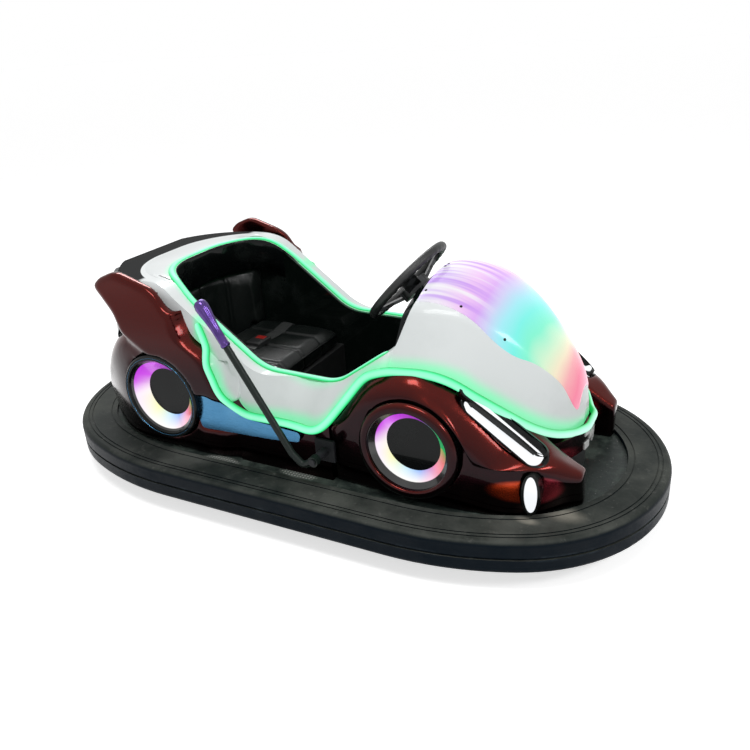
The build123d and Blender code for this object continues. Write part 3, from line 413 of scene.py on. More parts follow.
def maroon_paint():
    """Dark metallic maroon under lacquer with flakes and smears, painted lighter on upward faces and
    high parts as painted highlight, with painted light in the side lamps' hollows.
    """
    s = Shader("maroon_paint", Metallic=1.0, Coat_Weight=0.2, Coat_Roughness=0.03)
    x, z = s.axes("XZ")
    flake = s.noise(2400, 1, 0.5)
    # Painted highlight and shade: faces that look up and parts that stand high get a brighter maroon,
    # sides a darker one
    painted_light = s.spread(s.upward(), -0.1, 0.9)
    tall = s.spread(z, 0.36, 0.62, 0.0, 0.75)
    painted_light = s.most(painted_light, tall)
    shaded_maroon = s.mix(painted_light, (0.0085, 0.0022, 0.0036), (0.070, 0.0062, 0.0042))
    lit_maroon = s.mix(painted_light, (0.020, 0.0048, 0.0068), (0.135, 0.0135, 0.0080))
    colour = s.mix(s.spread(flake, 0.45, 0.75, 0, 0.8), shaded_maroon, lit_maroon)
    # Orange and crimson patches paint the lit insides of the hollows beside the side lamp; the hollows
    # are not built
    before_lamp = s.math("GREATER_THAN", x, SIDE_LAMP[0])
    hollow_light = s.mix(before_lamp, *HOLLOW_LIGHT_COLOURS)
    lit_hollows = 0.0
    for (middle, half, tall), sign in zip(HOLLOWS, (-1, 1)):
        ahead = s.mul(s.sub(x, SIDE_LAMP[0]), sign)
        wanted = s.math("GREATER_THAN", ahead, 0.0)
        shape = s.blob((middle, 0, SIDE_LAMP[1]), (half, 9, tall), 0.35)
        lit_hollows = s.most(lit_hollows, s.mul(shape, wanted))
    s.set("Base Color", s.mix(lit_hollows, colour, hollow_light))
    smears = s.spread(s.noise(9, 7, 0.65), 0.4, 0.75)
    s.set("Roughness", s.spread(smears, 0, 1, 0.17, 0.3))
    s.bump(s.add(s.mul(flake, 0.25), s.noise(22, 2)), 0.06, 0.002)
    return s.material


def neon_distance(s):
    """Distance from the side neon line on a shell seen from the side, with x and the line's start."""
    side = rounded_path(NEON_LINE, NEON_RADII, 0.03)
    low, high = side[0].x, side[-1].x
    count = 15
    heights = [(k / count, height_on(side, low + (high - low) * k / count)) for k in range(count + 1)]
    x, z = s.axes("XZ")
    share = s.spread(x, low, high, smooth=False)
    step = 0.02
    line = s.curve(share, heights)
    later = s.curve(s.add(share, step), heights)
    slope = s.div(s.sub(later, line), step * (high - low))
    return s.div(s.math("ABSOLUTE", s.sub(z, line)), s.hypot(slope, 1.0)), x, low


def plan_distance(s, plan, corner):
    """Distance outside a U-shaped plan that is open to the front, and x."""
    x, y = s.axes("XY")
    half, rear, _ = plan
    over_x = s.most(s.sub(rear + corner, x), 0.0)
    over_y = s.most(s.sub(s.math("ABSOLUTE", y), half - corner), 0.0)
    return s.sub(s.hypot(over_x, over_y), corner), x


def outside_cover(s):
    """One behind the white land, where the shell's top is the black cover, zero elsewhere."""
    outside, x = plan_distance(s, COVER_PLAN, COVER_CORNER)
    return s.mul(s.spread(outside, 0.0, 0.0015), s.spread(x, -0.49, -0.51))


def rim_glow(s):
    """Painted green light of the neon strip round the cockpit's mouth on the shell beside it."""
    outside, x = plan_distance(s, RIM_PLAN, RIM_CORNER)
    front = RIM_PLAN[2]
    near = s.spread(outside, 0.034, 0.004)
    return s.mul(s.mul(near, near), s.spread(x, front, front - 0.05, 0.0, 0.7))


def white_shell():
    """Pale grey-white gel coat with faint grime, with a painted green glow, in colour and emission,
    where the neon line would light it.
    """
    s = Shader("white_shell", Coat_Roughness=0.05, Specular_IOR_Level=0.1)
    grime = s.spread(s.noise(5, 7, 0.65), 0.45, 0.8, 0, 0.5)
    white = s.mix(grime, (0.66, 0.69, 0.69), (0.55, 0.58, 0.575))
    distance, x, start = neon_distance(s)
    glow = s.mul(s.spread(distance, 0.045, 0.008), s.spread(x, start - 0.03, start))
    glow = s.most(s.mul(glow, glow), rim_glow(s))
    # Painted glow: the shell is tinted green and given a faint emission near the neon lines
    lit = s.mix(s.mul(glow, 0.8), white, (0.22, 0.80, 0.46))
    cover = outside_cover(s)
    s.set("Base Color", s.mix(cover, lit, (0.006, 0.0065, 0.0065)))
    s.set("Emission Color", (0.10, 0.85, 0.36))
    s.set("Emission Strength", s.mul(glow, 0.2))
    s.set("Coat Weight", s.spread(cover, 0, 1, 0.25, 0.0))
    s.set("Roughness", s.most(s.spread(grime, 0, 0.5, 0.28, 0.45), s.mul(cover, 0.8)))
    s.bump(s.noise(14, 2), 0.05, 0.003)
    return s.material


def black_gloss(name="black_gloss", coat=0.2, tint=(0.003, 0.004, 0.004), waves=0.07):
    """Black gel coat or moulding, a little wavy, with greasy smears."""
    s = Shader(name, Coat_Weight=coat, Coat_Roughness=0.03, Specular_IOR_Level=0.06)
    smear = s.spread(s.noise(11, 7, 0.65), 0.45, 0.78)
    s.set("Base Color", s.mix(smear, tint, (0.011, 0.0135, 0.0125)))
    s.set("Roughness", s.spread(smear, 0, 1, 0.2, 0.4))
    s.bump(s.noise(17, 3), waves, 0.003)
    return s.material


def textured_black(name, roughness=0.5):
    """Moulded black plastic with fine leather-like texture."""
    s = Shader(name, Specular_IOR_Level=0.4)
    cells = s.node("ShaderNodeTexVoronoi", {"Scale": 900.0, "Vector": s.place()})
    s.set("Base Color", s.mix(s.noise(25, 4), (0.006, 0.0065, 0.0065), (0.02, 0.021, 0.021)))
    s.set("Roughness", roughness)
    s.bump(cells.outputs["Distance"], 0.35, 0.0006)
    return s.material


def polished_steel():
    """Brushed bright trim that reads blue."""
    s = Shader("polished_steel", Metallic=1.0)
    brush = s.noise(1.0, 5, 0.6, s.place(scale=(40, 400, 900)))
    s.set("Base Color", s.mix(s.noise(14, 4), (0.030, 0.130, 0.260), (0.090, 0.240, 0.390)))
    s.set("Roughness", s.spread(brush, 0.3, 0.7, 0.14, 0.3))
    s.bump(brush, 0.06, 0.0005)
    return s.material


def bare_steel():
    """Bare steel with grime."""
    s = Shader("bare_steel", Metallic=1.0)
    grime = s.spread(s.noise(35, 6, 0.65), 0.5, 0.7)
    s.set("Base Color", s.mix(grime, (0.5, 0.5, 0.5), (0.16, 0.13, 0.11)))
    s.set("Roughness", s.spread(grime, 0, 1, 0.3, 0.6))
    s.bump(s.noise(300, 3), 0.15, 0.0005)
    return s.material


def tyre_rubber():
    """Dusty rubber with ribs round the tread."""
    s = Shader("tyre_rubber", Specular_IOR_Level=0.3)
    (y,) = s.axes("Y")
    dust = s.spread(s.noise(60, 5, 0.65), 0.45, 0.75)
    s.set("Base Color", s.mix(dust, (0.012, 0.012, 0.012), (0.055, 0.052, 0.048)))
    s.set("Roughness", s.spread(dust, 0, 1, 0.6, 0.85))
    grooves = s.math("SINE", s.mul(y, TYRE_RIB_PITCH))
    s.bump(s.add(grooves, s.noise(300, 2)), 0.4, 0.001)
    return s.material


def vinyl():
    """Black seat vinyl with fine grain and a soft shine."""
    s = Shader("vinyl", Specular_IOR_Level=0.2, Coat_Weight=0.12, Coat_Roughness=0.2)
    cells = s.node("ShaderNodeTexVoronoi", {"Scale": 700.0, "Vector": s.place()})
    wear = s.spread(s.noise(13, 6, 0.6), 0.5, 0.8)
    s.set("Base Color", s.mix(wear, (0.0040, 0.0055, 0.0050), (0.013, 0.016, 0.0145)))
    s.set("Roughness", s.spread(wear, 0, 1, 0.3, 0.48))
    height = s.add(cells.outputs["Distance"], s.mul(s.noise(30, 5), 1.5))
    s.bump(height, 0.35, 0.0009)
    return s.material


def webbing():
    """Woven black belt webbing."""
    s = Shader("webbing", Roughness=0.75, Specular_IOR_Level=0.25)
    weave_x, weave_y = [s.math("SINE", s.mul(place, WEAVE_PITCH)) for place in s.axes("XY")]
    weave = s.mul(weave_x, weave_y)
    s.set("Base Color", s.mix(s.spread(weave, -1, 1), (0.008, 0.009, 0.009), (0.035, 0.038, 0.036)))
    s.bump(weave, 0.5, 0.0008)
    return s.material


def grip_purple():
    """Purple anodised aluminium, darker in places."""
    s = Shader("grip_purple", Metallic=1.0)
    s.set("Base Color", s.mix(s.noise(40, 3), (0.028, 0.014, 0.095), (0.150, 0.085, 0.300)))
    s.set("Roughness", s.spread(s.noise(120, 4), 0.3, 0.7, 0.12, 0.24))
    s.bump(s.noise(900, 2), 0.05, 0.0004)
    return s.material


def neon_glow(name):
    """Lit silicone tube: pale mint along its crest, green at its edges, whiter at the nose."""
    s = Shader(name, Roughness=0.4, Specular_IOR_Level=0.2)
    crest = s.node("ShaderNodeAttribute", attribute_name="crest").outputs["Fac"]
    colour = s.ramp(crest, (
        (0.0, (0.0, 0.36, 0.05)), (0.35, (0.005, 0.60, 0.13)),
        (0.65, (0.06, 0.83, 0.33)), (0.9, (0.24, 0.93, 0.56)), (1.0, (0.34, 0.96, 0.64)),
    ))
    (x,) = s.axes("X")
    nose = s.mul(s.spread(x, 0.5, 0.8, 0, 0.75), crest)
    colour = s.mix(nose, colour, (0.66, 0.98, 0.86))
    drift = s.spread(s.noise(6, 3), 0.3, 0.7, 0.9, 1.08)
    s.set("Base Color", (0.03, 0.10, 0.06))
    s.set("Emission Color", colour)
    s.set("Emission Strength", drift)
    s.bump(s.noise(50, 2), 0.05, 0.001)
    return s.material


def hood_light():
    """Milky light panel: lilac at the windscreen end, then cyan, green and yellow, pink at the nose."""
    s = Shader(
        "hood_light", Roughness=0.25, Coat_Weight=0.25, Coat_Roughness=0.04, Specular_IOR_Level=0.2
    )
    (x,) = s.axes("X")
    wander = s.spread(s.noise(3.2, 2), 0.2, 0.8, -0.018, 0.018)
    along = s.add(x, wander)
    share = s.spread(along, 0.34, 0.75, smooth=False)
    colour = s.ramp(share, (
        (0.0, (0.83, 0.84, 0.92)), (0.12, (0.92, 0.84, 0.97)), (0.26, (0.93, 0.60, 0.97)),
        (0.38, (0.78, 0.44, 0.97)), (0.46, (0.66, 0.66, 0.97)), (0.54, (0.36, 0.88, 0.97)),
        (0.62, (0.17, 0.95, 0.84)), (0.69, (0.20, 0.96, 0.66)), (0.755, (0.70, 0.95, 0.66)),
        (0.80, (0.96, 0.84, 0.60)), (0.85, (0.97, 0.40, 0.44)), (0.91, (0.96, 0.20, 0.34)),
        (1.0, (0.96, 0.42, 0.56)),
    ))
    streak = s.noise(1.0, 2, 0.5, s.place(scale=(1.6, 34, 2)))
    rear = s.spread(x, 0.54, 0.44)
    streaks = s.mul(s.spread(streak, 0.46, 0.62), rear)
    colour = s.mix(s.mul(streaks, 0.8), colour, (0.50, 0.19, 0.92))
    pale = s.mul(s.spread(streak, 0.44, 0.34), rear)
    colour = s.mix(s.mul(pale, 0.85), colour, (0.96, 0.95, 0.98))
    s.set("Base Color", (0.04, 0.04, 0.04))
    s.set("Emission Color", colour)
    s.set("Emission Strength", 0.9)
    s.bump(s.noise(60, 2), 0.04, 0.001)
    return s.material


def lamp_glow():
    """White lit lens with fine ribs, a little cooler in places."""
    s = Shader("lamp_glow", Roughness=0.2, Coat_Weight=0.6, Coat_Roughness=0.03)
    s.set("Base Color", (0.1, 0.1, 0.1))
    ribs = s.math("SINE", s.mul(*s.axes("X"), LENS_RIB_PITCH))
    s.set("Emission Color", s.mix(s.noise(20, 3), (1.0, 1.0, 1.0), (0.9, 0.95, 1.0)))
    s.set("Emission Strength", 0.95)
    s.bump(ribs, 0.1, 0.0006)
    return s.material


def wheel_lights():
    """Middles of the rear and the front wheel lights, seen from the side."""
    low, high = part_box("wheel_light_rings")
    return (low.x + RING_RADIUS, high.z - RING_RADIUS), (high.x - RING_RADIUS, low.z + RING_RADIUS)


def ring_glow():
    """Lit conical wall of the wheel lights: colours run round it, white along its lower left."""
    s = Shader("ring_glow", Roughness=0.22, Coat_Weight=0.5, Coat_Roughness=0.04)
    x, z = s.axes("XZ")
    front = s.math("GREATER_THAN", x, 0.0)
    rear_light, front_light = wheel_lights()
    centre_x = s.spread(front, 0, 1, rear_light[0], front_light[0], smooth=False)
    centre_z = s.spread(front, 0, 1, rear_light[1], front_light[1], smooth=False)
    dx = s.sub(x, centre_x)
    dz = s.sub(z, centre_z)
    angle = s.div(s.math("ARCTAN2", dz, dx), 2 * math.pi)
    wander = s.spread(s.noise(5, 2), 0.3, 0.7, -0.02, 0.02)
    turn = s.math("FRACT", s.add(s.add(angle, 1.0), wander))
    reach = s.hypot(dx, dz)
    lit_reach = s.spread(front, 0, 1, *LIT_RADII, smooth=False)
    dark = s.spread(s.sub(reach, lit_reach), 0.0, 0.0015)
    outer = s.div(s.sub(reach, RING_INNER), s.sub(lit_reach, RING_INNER), clamp=True)
    rim_side = s.ramp(turn, (
        (0.0, (0.02, 0.45, 0.12)), (0.10, (0.02, 0.42, 0.12)), (0.20, (0.55, 0.05, 0.75)),
        (0.33, (0.58, 0.02, 0.82)), (0.44, (0.66, 0.06, 0.86)), (0.51, (0.97, 0.80, 0.98)),
        (0.66, (1.0, 1.0, 0.97)), (0.78, (1.0, 0.98, 0.95)), (0.86, (0.98, 0.6, 0.78)),
        (0.94, (0.9, 0.08, 0.12)), (1.0, (0.1, 0.4, 0.12)),
    ))
    disc_side = s.ramp(turn, (
        (0.0, (0.03, 0.5, 0.16)), (0.12, (0.03, 0.3, 0.12)), (0.22, (0.25, 0.02, 0.42)),
        (0.38, (0.70, 0.10, 0.90)), (0.5, (1.0, 0.90, 0.90)), (0.62, (0.98, 0.98, 0.45)),
        (0.72, (0.55, 0.85, 1.0)), (0.8, (0.25, 0.45, 0.98)), (0.9, (0.95, 0.2, 0.4)),
        (1.0, (0.4, 0.5, 0.1)),
    ))
    colour = s.mix(dark, s.mix(outer, disc_side, rim_side), (0.0, 0.0, 0.0))
    s.set("Base Color", s.mix(dark, (0.06, 0.06, 0.06), (0.004, 0.004, 0.004)))
    s.set("Emission Color", colour)
    s.set("Emission Strength", 0.95)
    s.bump(s.noise(40, 2), 0.05, 0.001)
    return s.material


def assign(material, *names):
    """Gives a material to every slot of these CAD nodes."""
    for name in names:
        mesh = NODES[name].data
        if not mesh.materials:
            mesh.materials.append(material)
        for index in range(len(mesh.materials)):
            mesh.materials[index] = material


def shade_smooth(mesh):
    mesh.polygons.foreach_set("use_smooth", [True] * len(mesh.polygons))


def mesh_piece(name, verts, faces, material, body):
    """New mesh piece from points in the frame, riding on a body."""
    mesh = bpy.data.meshes.new(name)
    mesh.from_pydata([tuple(v) for v in verts], [], faces)
    mesh.validate()
    mesh.materials.append(material)
    shade_smooth(mesh)
    piece = bpy.data.objects.new(name, mesh)
    bpy.context.scene.collection.objects.link(piece)
    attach(piece, body)
    return piece


def quads(rows, width, wrap_rows=False, wrap_width=False):
    """Faces between rows of points, each of them as long as width."""
    faces = []
    for i in range(rows if wrap_rows else rows - 1):
        row, following = i * width, (i + 1) % rows * width
        for k in range(width if wrap_width else width - 1):
            after = (k + 1) % width
            faces.append((row + k, row + after, following + after, following + k))
    return faces


def tube_faces(rows, around):
    """Faces of a tube with flat ends."""
    faces = quads(rows, around, wrap_width=True)
    faces.append(tuple(range(around - 1, -1, -1)))
    faces.append(tuple((rows - 1) * around + k for k in range(around)))
    return faces


def ring(count, across, other):
    """Directions round a circle that starts towards across and turns towards other."""
    turns = [2 * math.pi * k / count for k in range(count)]
    return [across * math.cos(turn) + other * math.sin(turn) for turn in turns]


def heading(path, index, closed):
    """Direction of a path at one of its points."""
    count = len(path)
    before = path[index - 1] if closed or index else path[0]
    after = path[(index + 1) % count] if closed or index < count - 1 else path[-1]
    return (after - before).normalized()


def bvh_of(*things):
    """Search tree over the faces of some CAD nodes, given by name, or new pieces."""
    verts = []
    faces = []
    for thing in things:
        mesh = NODES[thing].data if isinstance(thing, str) else thing.data
        start = len(verts)
        verts += [v.co.copy() for v in mesh.vertices]
        faces += [[start + i for i in p.vertices] for p in mesh.polygons]
    return BVHTree.FromPolygons(verts, faces)


def rounded_path(points, radii, step):
    """Points every step or so along straight runs and rounded corners of a side-view line."""
    points = [Vector(p) for p in points]
    runs = [points[0]]
    for index in range(1, len(points) - 1):
        before, corner, after = points[index - 1:index + 2]
        into, out = (before - corner).normalized(), (after - corner).normalized()
        half = math.acos(max(-1.0, min(1.0, into.dot(out)))) / 2
        cut = radii[index - 1] / math.tan(half)
        centre = corner + (into + out).normalized() * (radii[index - 1] / math.sin(half))
        start, end = corner + into * cut, corner + out * cut
        first = math.atan2(start.y - centre.y, start.x - centre.x)
        turn = math.atan2(end.y - centre.y, end.x - centre.x) - first
        turn = (turn + math.pi) % (2 * math.pi) - math.pi
        count = max(4, int(abs(turn) * radii[index - 1] / step))
        for k in range(count + 1):
            angle = first + turn * k / count
            runs.append(centre + radii[index - 1] * Vector((math.cos(angle), math.sin(angle))))
    runs.append(points[-1])
    path = []
    for first, second in zip(runs, runs[1:]):
        count = max(1, int((second - first).length / step))
        path += [first.lerp(second, k / count) for k in range(count)]
    return path + [runs[-1]]


SIDE_PATH = rounded_path(NEON_LINE, NEON_RADII, 0.01)


def rim_side(step):
    """Side view of the neon line round the cockpit's mouth, level behind it."""
    return rounded_path(((REAR_END, RIM_LINE[0][1]), *RIM_LINE), RIM_RADII, step)


def height_on(path, x):
    """Height of a side-view path at x, beyond its ends as at them."""
    if x >= path[-1].x:
        return path[-1].y
    for first, second in zip(path, path[1:]):
        if first.x <= x <= second.x and second.x > first.x:
            return first.y + (second.y - first.y) * (x - first.x) / (second.x - first.x)
    return path[0].y


def tube_along(name, path, normals, half_width, depth, material, node):
    """Half-round strip lying on a surface along path, its crest marked for the material."""
    around = 16
    tapers = (0.55, 0.85, 0.97)
    verts = []
    crest = []
    count = len(path)
    for index, point in enumerate(path):
        along = heading(path, index, False)
        normal = (normals[index] - along * normals[index].dot(along)).normalized()
        across = along.cross(normal)
        end = min(index, count - 1 - index)
        taper = tapers[end] if end < len(tapers) else 1.0
        for k in range(around):
            angle = 2 * math.pi * k / around
            sideways, outward = math.sin(angle), math.cos(angle)
            height = depth * taper * (outward if outward > 0 else outward * 0.3)
            verts.append(point + across * (half_width * taper * sideways) + normal * height)
            crest.append(max(0.0, outward) ** 0.8)
    piece = mesh_piece(name, verts, tube_faces(count, around), material, "car_body")
    marks = piece.data.attributes.new("crest", "FLOAT", "POINT")
    marks.data.foreach_set("value", crest)
    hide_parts(node)
    return piece


def smooth_points(points, rounds, closed=False):
    for _ in range(rounds):
        last = len(points) - 1
        points = [
            p if not closed and i in (0, last)
            else (points[i - 1] + p * 2 + points[(i + 1) % len(points)]) / 4
            for i, p in enumerate(points)
        ]
    return points


def neon_side(material, fenders):
    """Neon strip along the shell's edge on both sides and round the nose."""
    surface = bvh_of("neon_side", "cockpit_surround", "hood_shell", *fenders)
    side = rounded_path(NEON_LINE, NEON_RADII, 0.008)
    flank = [p for p in side if p.x < NOSE_CENTRE]
    points = []
    normals = []
    for p in flank:
        start = Vector((p.x, -0.6, p.y))
        hit, normal, _, _ = surface.ray_cast(start, Vector((0, 1, 0)))
        if hit is None:
            continue
        points.append(hit)
        normals.append(Vector((0, normal.y, normal.z * 0.4)).normalized())
    steps = 40
    for k in range(steps + 1):
        angle = -math.pi / 2 + math.pi / 2 * k / steps
        outward = Vector((math.cos(angle), math.sin(angle), 0))
        z = height_on(side, NOSE_CENTRE)
        for _ in range(4):
            start = Vector((NOSE_CENTRE, 0, z)) + outward * 0.5
            hit, normal, _, _ = surface.ray_cast(start, -outward)
            if hit is None:
                break
            z = height_on(side, hit.x)
        if hit is not None:
            points.append(Vector((hit.x, hit.y, z)))
            normals.append(outward)
    points = smooth_points(points, 6)
    mirrored = [Vector((p.x, -p.y, p.z)) for p in reversed(points[:-1])]
    turned = [Vector((n.x, -n.y, n.z)) for n in reversed(normals[:-1])]
    return tube_along(
        "neon_side_tube", points + mirrored, smooth_points(normals + turned, 4), *NEON_TUBE,
        material, "neon_side",
    )


def neon_rim(material):
    """Thin neon strip on the land round the cockpit's mouth, open at the dash."""
    side = rim_side(0.006)
    half, rear, front = RIM_PLAN
    corners = ((front, -half), (rear, -half), (rear, half), (front, half))
    plan = rounded_path(corners, (RIM_CORNER, RIM_CORNER), 0.008)
    points = [Vector((p.x, p.y, height_on(side, p.x))) for p in plan]
    points = smooth_points(points, 3)
    normals = [Vector((0, 0, 1))] * len(points)
    return tube_along("neon_rim_tube", points, normals, *RIM_TUBE, material, "neon_rim")


def evaluated_copy(piece):
    """The piece's mesh with its modifiers applied."""
    graph = bpy.context.evaluated_depsgraph_get()
    return bpy.data.meshes.new_from_object(piece.evaluated_get(graph))


def apply_modifiers(piece):
    mesh = evaluated_copy(piece)
    piece.modifiers.clear()
    piece.data = mesh


def remeshed(name, mesh, voxel):
    """New piece with an even mesh grown from a CAD solid's mesh."""
    welded = bmesh.new()
    welded.from_mesh(mesh)
    bmesh.ops.remove_doubles(welded, verts=welded.verts, dist=0.0001)
    welded.to_mesh(mesh)
    welded.free()
    piece = bpy.data.objects.new(name, mesh)
    bpy.context.scene.collection.objects.link(piece)
    remesh = piece.modifiers.new("remesh", "REMESH")
    remesh.mode = "VOXEL"
    remesh.voxel_size = voxel
    apply_modifiers(piece)
    return piece


def moulded(name, node, shape, rounds, materials):
    """Fibreglass moulding in place of a CAD node, reshaped by shape, with rounded edges."""
    piece = remeshed(name, NODES[node].data.copy(), FENDER_VOXEL)
    for vertex in piece.data.vertices:
        vertex.co = shape(vertex.co)
    smooth = piece.modifiers.new("smooth", "SMOOTH")
    smooth.iterations = rounds
    apply_modifiers(piece)
    piece.data.materials.clear()
    for material in materials:
        piece.data.materials.append(material)
    shade_smooth(piece.data)
    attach(piece, "car_body")
    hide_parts(node)
    return piece


def rear_shape(co):
    """Draws the fin's front edge back, thins the fin upwards, leads the white part to the shell."""
    back = FIN_DRAW * smooth_step(co.z, 0.45, 0.52) * smooth_step(co.x, -0.42, -0.30)
    depth = abs(co.y)
    if depth > FIN_INNER:
        thinner = FIN_THINNING * smooth_step(co.z, 0.5, 0.65)
        depth = FIN_MIDDLE + (depth - FIN_MIDDLE) * (1 - thinner)
    over = co.z - height_on(SIDE_PATH, co.x)
    ahead = 0.0
    if co.x > SIDE_PATH[0].x and over > 0:
        shell = SHELL_FOOT[1] - SHELL_LEAN * (co.z - SHELL_FOOT[0])
        depth = min(depth, WHITE_FACE + (shell - WHITE_FACE) * smooth_step(over, 0.0, 0.06))
        ahead = SHELL_LAP * smooth_step(co.x, -0.22, -0.18)
    return Vector((co.x - back + ahead, math.copysign(depth, co.y), co.z))


def front_shape(co):
    """Lowers the fender's outer shoulder towards the nose, so its top faces outwards."""
    from_light = math.hypot(co.x - FRONT_LIGHT[0], co.z - FRONT_LIGHT[1])
    amount = linear_step(co.x, 0.38, 0.60) * (1 - 0.4 * smooth_step(co.x, 0.70, 0.79))
    amount *= smooth_step(co.z, 0.27, 0.37) * smooth_step(from_light, 0.140, 0.175)
    outward = linear_step(abs(co.y), 0.165, 0.340)
    return Vector((co.x, co.y, co.z + amount * (CROWN_LIFT - SHOULDER_DROP * outward)))


def fenders(maroon, white):
    """The four fender mouldings; the rear ones are white above the neon line."""
    pieces = []
    for side, _ in SIDES:
        rear = moulded(
            f"rear_fender_{side}_form", f"rear_fender_{side}", rear_shape, REAR_ROUNDS, (maroon, white)
        )
        for face in rear.data.polygons:
            x, _, z = face.center
            if x > SIDE_PATH[0].x and height_on(SIDE_PATH, x) < z < WHITE_TOP:
                face.material_index = 1
        pieces.append(rear)
        pieces.append(moulded(
            f"front_fender_{side}_form", f"front_fender_{side}", front_shape, FRONT_ROUNDS, (maroon,)
        ))
    return pieces


def stadium(length, width, count):
    """Points round a slot with round ends, lying along its first axis."""
    half, radius = max(length - width, 0.0) / 2, width / 2
    points = []
    for k in range(count):
        angle = 2 * math.pi * (k + 0.5) / count
        x, y = math.cos(angle), math.sin(angle)
        points.append((math.copysign(half, x) + radius * x, radius * y))
    return points


def headlight_frame(side):
    """Middle of a headlight's plane, and the directions along, across and out of it."""
    along = Vector((math.cos(HEADLIGHT_FALL), 0, -math.sin(HEADLIGHT_FALL)))
    out = Vector((
        math.sin(HEADLIGHT_FALL) * math.cos(HEADLIGHT_TILT), math.sin(HEADLIGHT_TILT),
        math.cos(HEADLIGHT_FALL) * math.cos(HEADLIGHT_TILT),
    ))
    across = out.cross(along)
    return [Vector((v.x, v.y * side, v.z)) for v in (HEADLIGHT_CENTRE, along, across, out)]


def draped_slot(name, tree, side, size, shift, rings, material):
    """Slot-shaped cover lying on the fender: rings give its share of the size and its lift."""
    centre, along, across, out = headlight_frame(side)
    lowest, highest = HEIGHT_LIMITS
    reach = 0.06
    count = 64
    verts = []
    for share, lift in rings:
        inset = size[1] * (1 - share)
        for a, b in stadium(size[0] - inset, size[1] - inset, count):
            place = centre + along * a + across * (b + shift)
            hit, _, _, _ = tree.ray_cast(place + out * reach, -out)
            height = (hit - place).dot(out) if hit is not None else 0.0
            verts.append((place, max(lowest, min(highest, height)), lift))
    heights = [v[1] for v in verts]
    rows = len(rings)
    blurs = 24
    for _ in range(blurs):
        blurred = list(heights)
        for i in range(rows):
            for k in range(count):
                near = [i * count + (k + 1) % count, i * count + (k - 1) % count]
                near += [row * count + k for row in (i - 1, i + 1) if 0 <= row < rows]
                mean = sum(heights[n] for n in near) / len(near)
                blurred[i * count + k] = (heights[i * count + k] + mean) / 2
        heights = blurred
    points = [place + out * (height + lift) for (place, _, lift), height in zip(verts, heights)]
    piece = mesh_piece(name, points, tube_faces(rows, count), material, "car_body")
    tidy_normals(piece)
    return piece


def headlights(tree, black, glass):
    """Black loop and white lens of each headlight, draped over the fender."""
    loop = (
        (1.0, -0.004), (1.0, 0.001), (0.95, 0.0035), (0.86, 0.004), (0.74, 0.003), (0.5, 0.002),
        (0.05, 0.001),
    )
    lens = ((1.0, 0.0), (1.0, 0.006), (0.93, 0.009), (0.8, 0.0105), (0.55, 0.0115), (0.05, 0.012))
    for side, sign in SIDES:
        draped_slot(f"headlight_loop_{side}", tree, sign, LOOP_SIZE, 0.0, loop, black)
        draped_slot(
            f"headlight_lens_{side}", tree, sign, GLASS_SIZE, GLASS_SHIFT, lens, glass
        )


def cockpit_land(white, black):
    """White land at the rear of the cockpit's mouth, with its black inner lip."""
    half_in, rear_in, _ = RIM_PLAN
    half_out, rear_out, _ = LAND_PLAN
    land = 0.012
    lift = 0.0015
    start = -0.30
    side = rim_side(0.02)
    rows = []
    count = 60
    white_strips = 3

    # Two rows round the outside, marked by -1 and -2, then insets in shares of the land's width
    section = (
        (-1, 0.006), (-2, 0.0), (0.5, 0.0), (1.0, 0.0), (1.15, 0.003), (1.2, 0.010), (1.2, 0.10),
    )
    for inset, drop in section:
        row = []
        for k in range(count + 1):
            angle = math.pi / 2 + math.pi * k / count
            if inset < 0:
                shift = 0.008 * (-inset - 1)
                half, rear, corner = half_out - shift, rear_out + shift, RIM_CORNER
            else:
                shift = land * inset
                half, rear, corner = half_in - shift, rear_in + shift, RIM_CORNER - shift
            flat = half - corner
            x = rear + corner + corner * math.cos(angle)
            y = math.copysign(flat, math.sin(angle)) + corner * math.sin(angle)
            if k in (0, count):
                x = start
            row.append(Vector((x, y, height_on(side, x) + lift - drop)))
        rows.append(row)
    verts = [p for row in rows for p in row]
    piece = mesh_piece("cockpit_land", verts, quads(len(rows), count + 1), white, "car_body")
    piece.data.materials.append(black)
    for face in piece.data.polygons:
        if face.index >= white_strips * count:
            face.material_index = 1
    tidy_normals(piece)
    solid = piece.modifiers.new("thickness", "SOLIDIFY")
    solid.thickness = 0.003
    apply_modifiers(piece)
    return piece


def light_collars(material):
    """Maroon lip round the bezel of each front wheel light."""
    profile = (
        (0.1120, 0.0), (0.1124, 0.0035), (0.1150, 0.0052), (0.1250, 0.0054), (0.1340, 0.0030),
        (0.1375, -0.004), (0.1375, -0.012), (0.1120, -0.012),
    )
    x, z = FRONT_LIGHT
    for side, sign in SIDES:
        piece = revolved(
            f"wheel_light_collar_{side}", profile, (x, BEZEL_FACE * sign, z), (0, sign, 0),
            material, "car_body",
        )


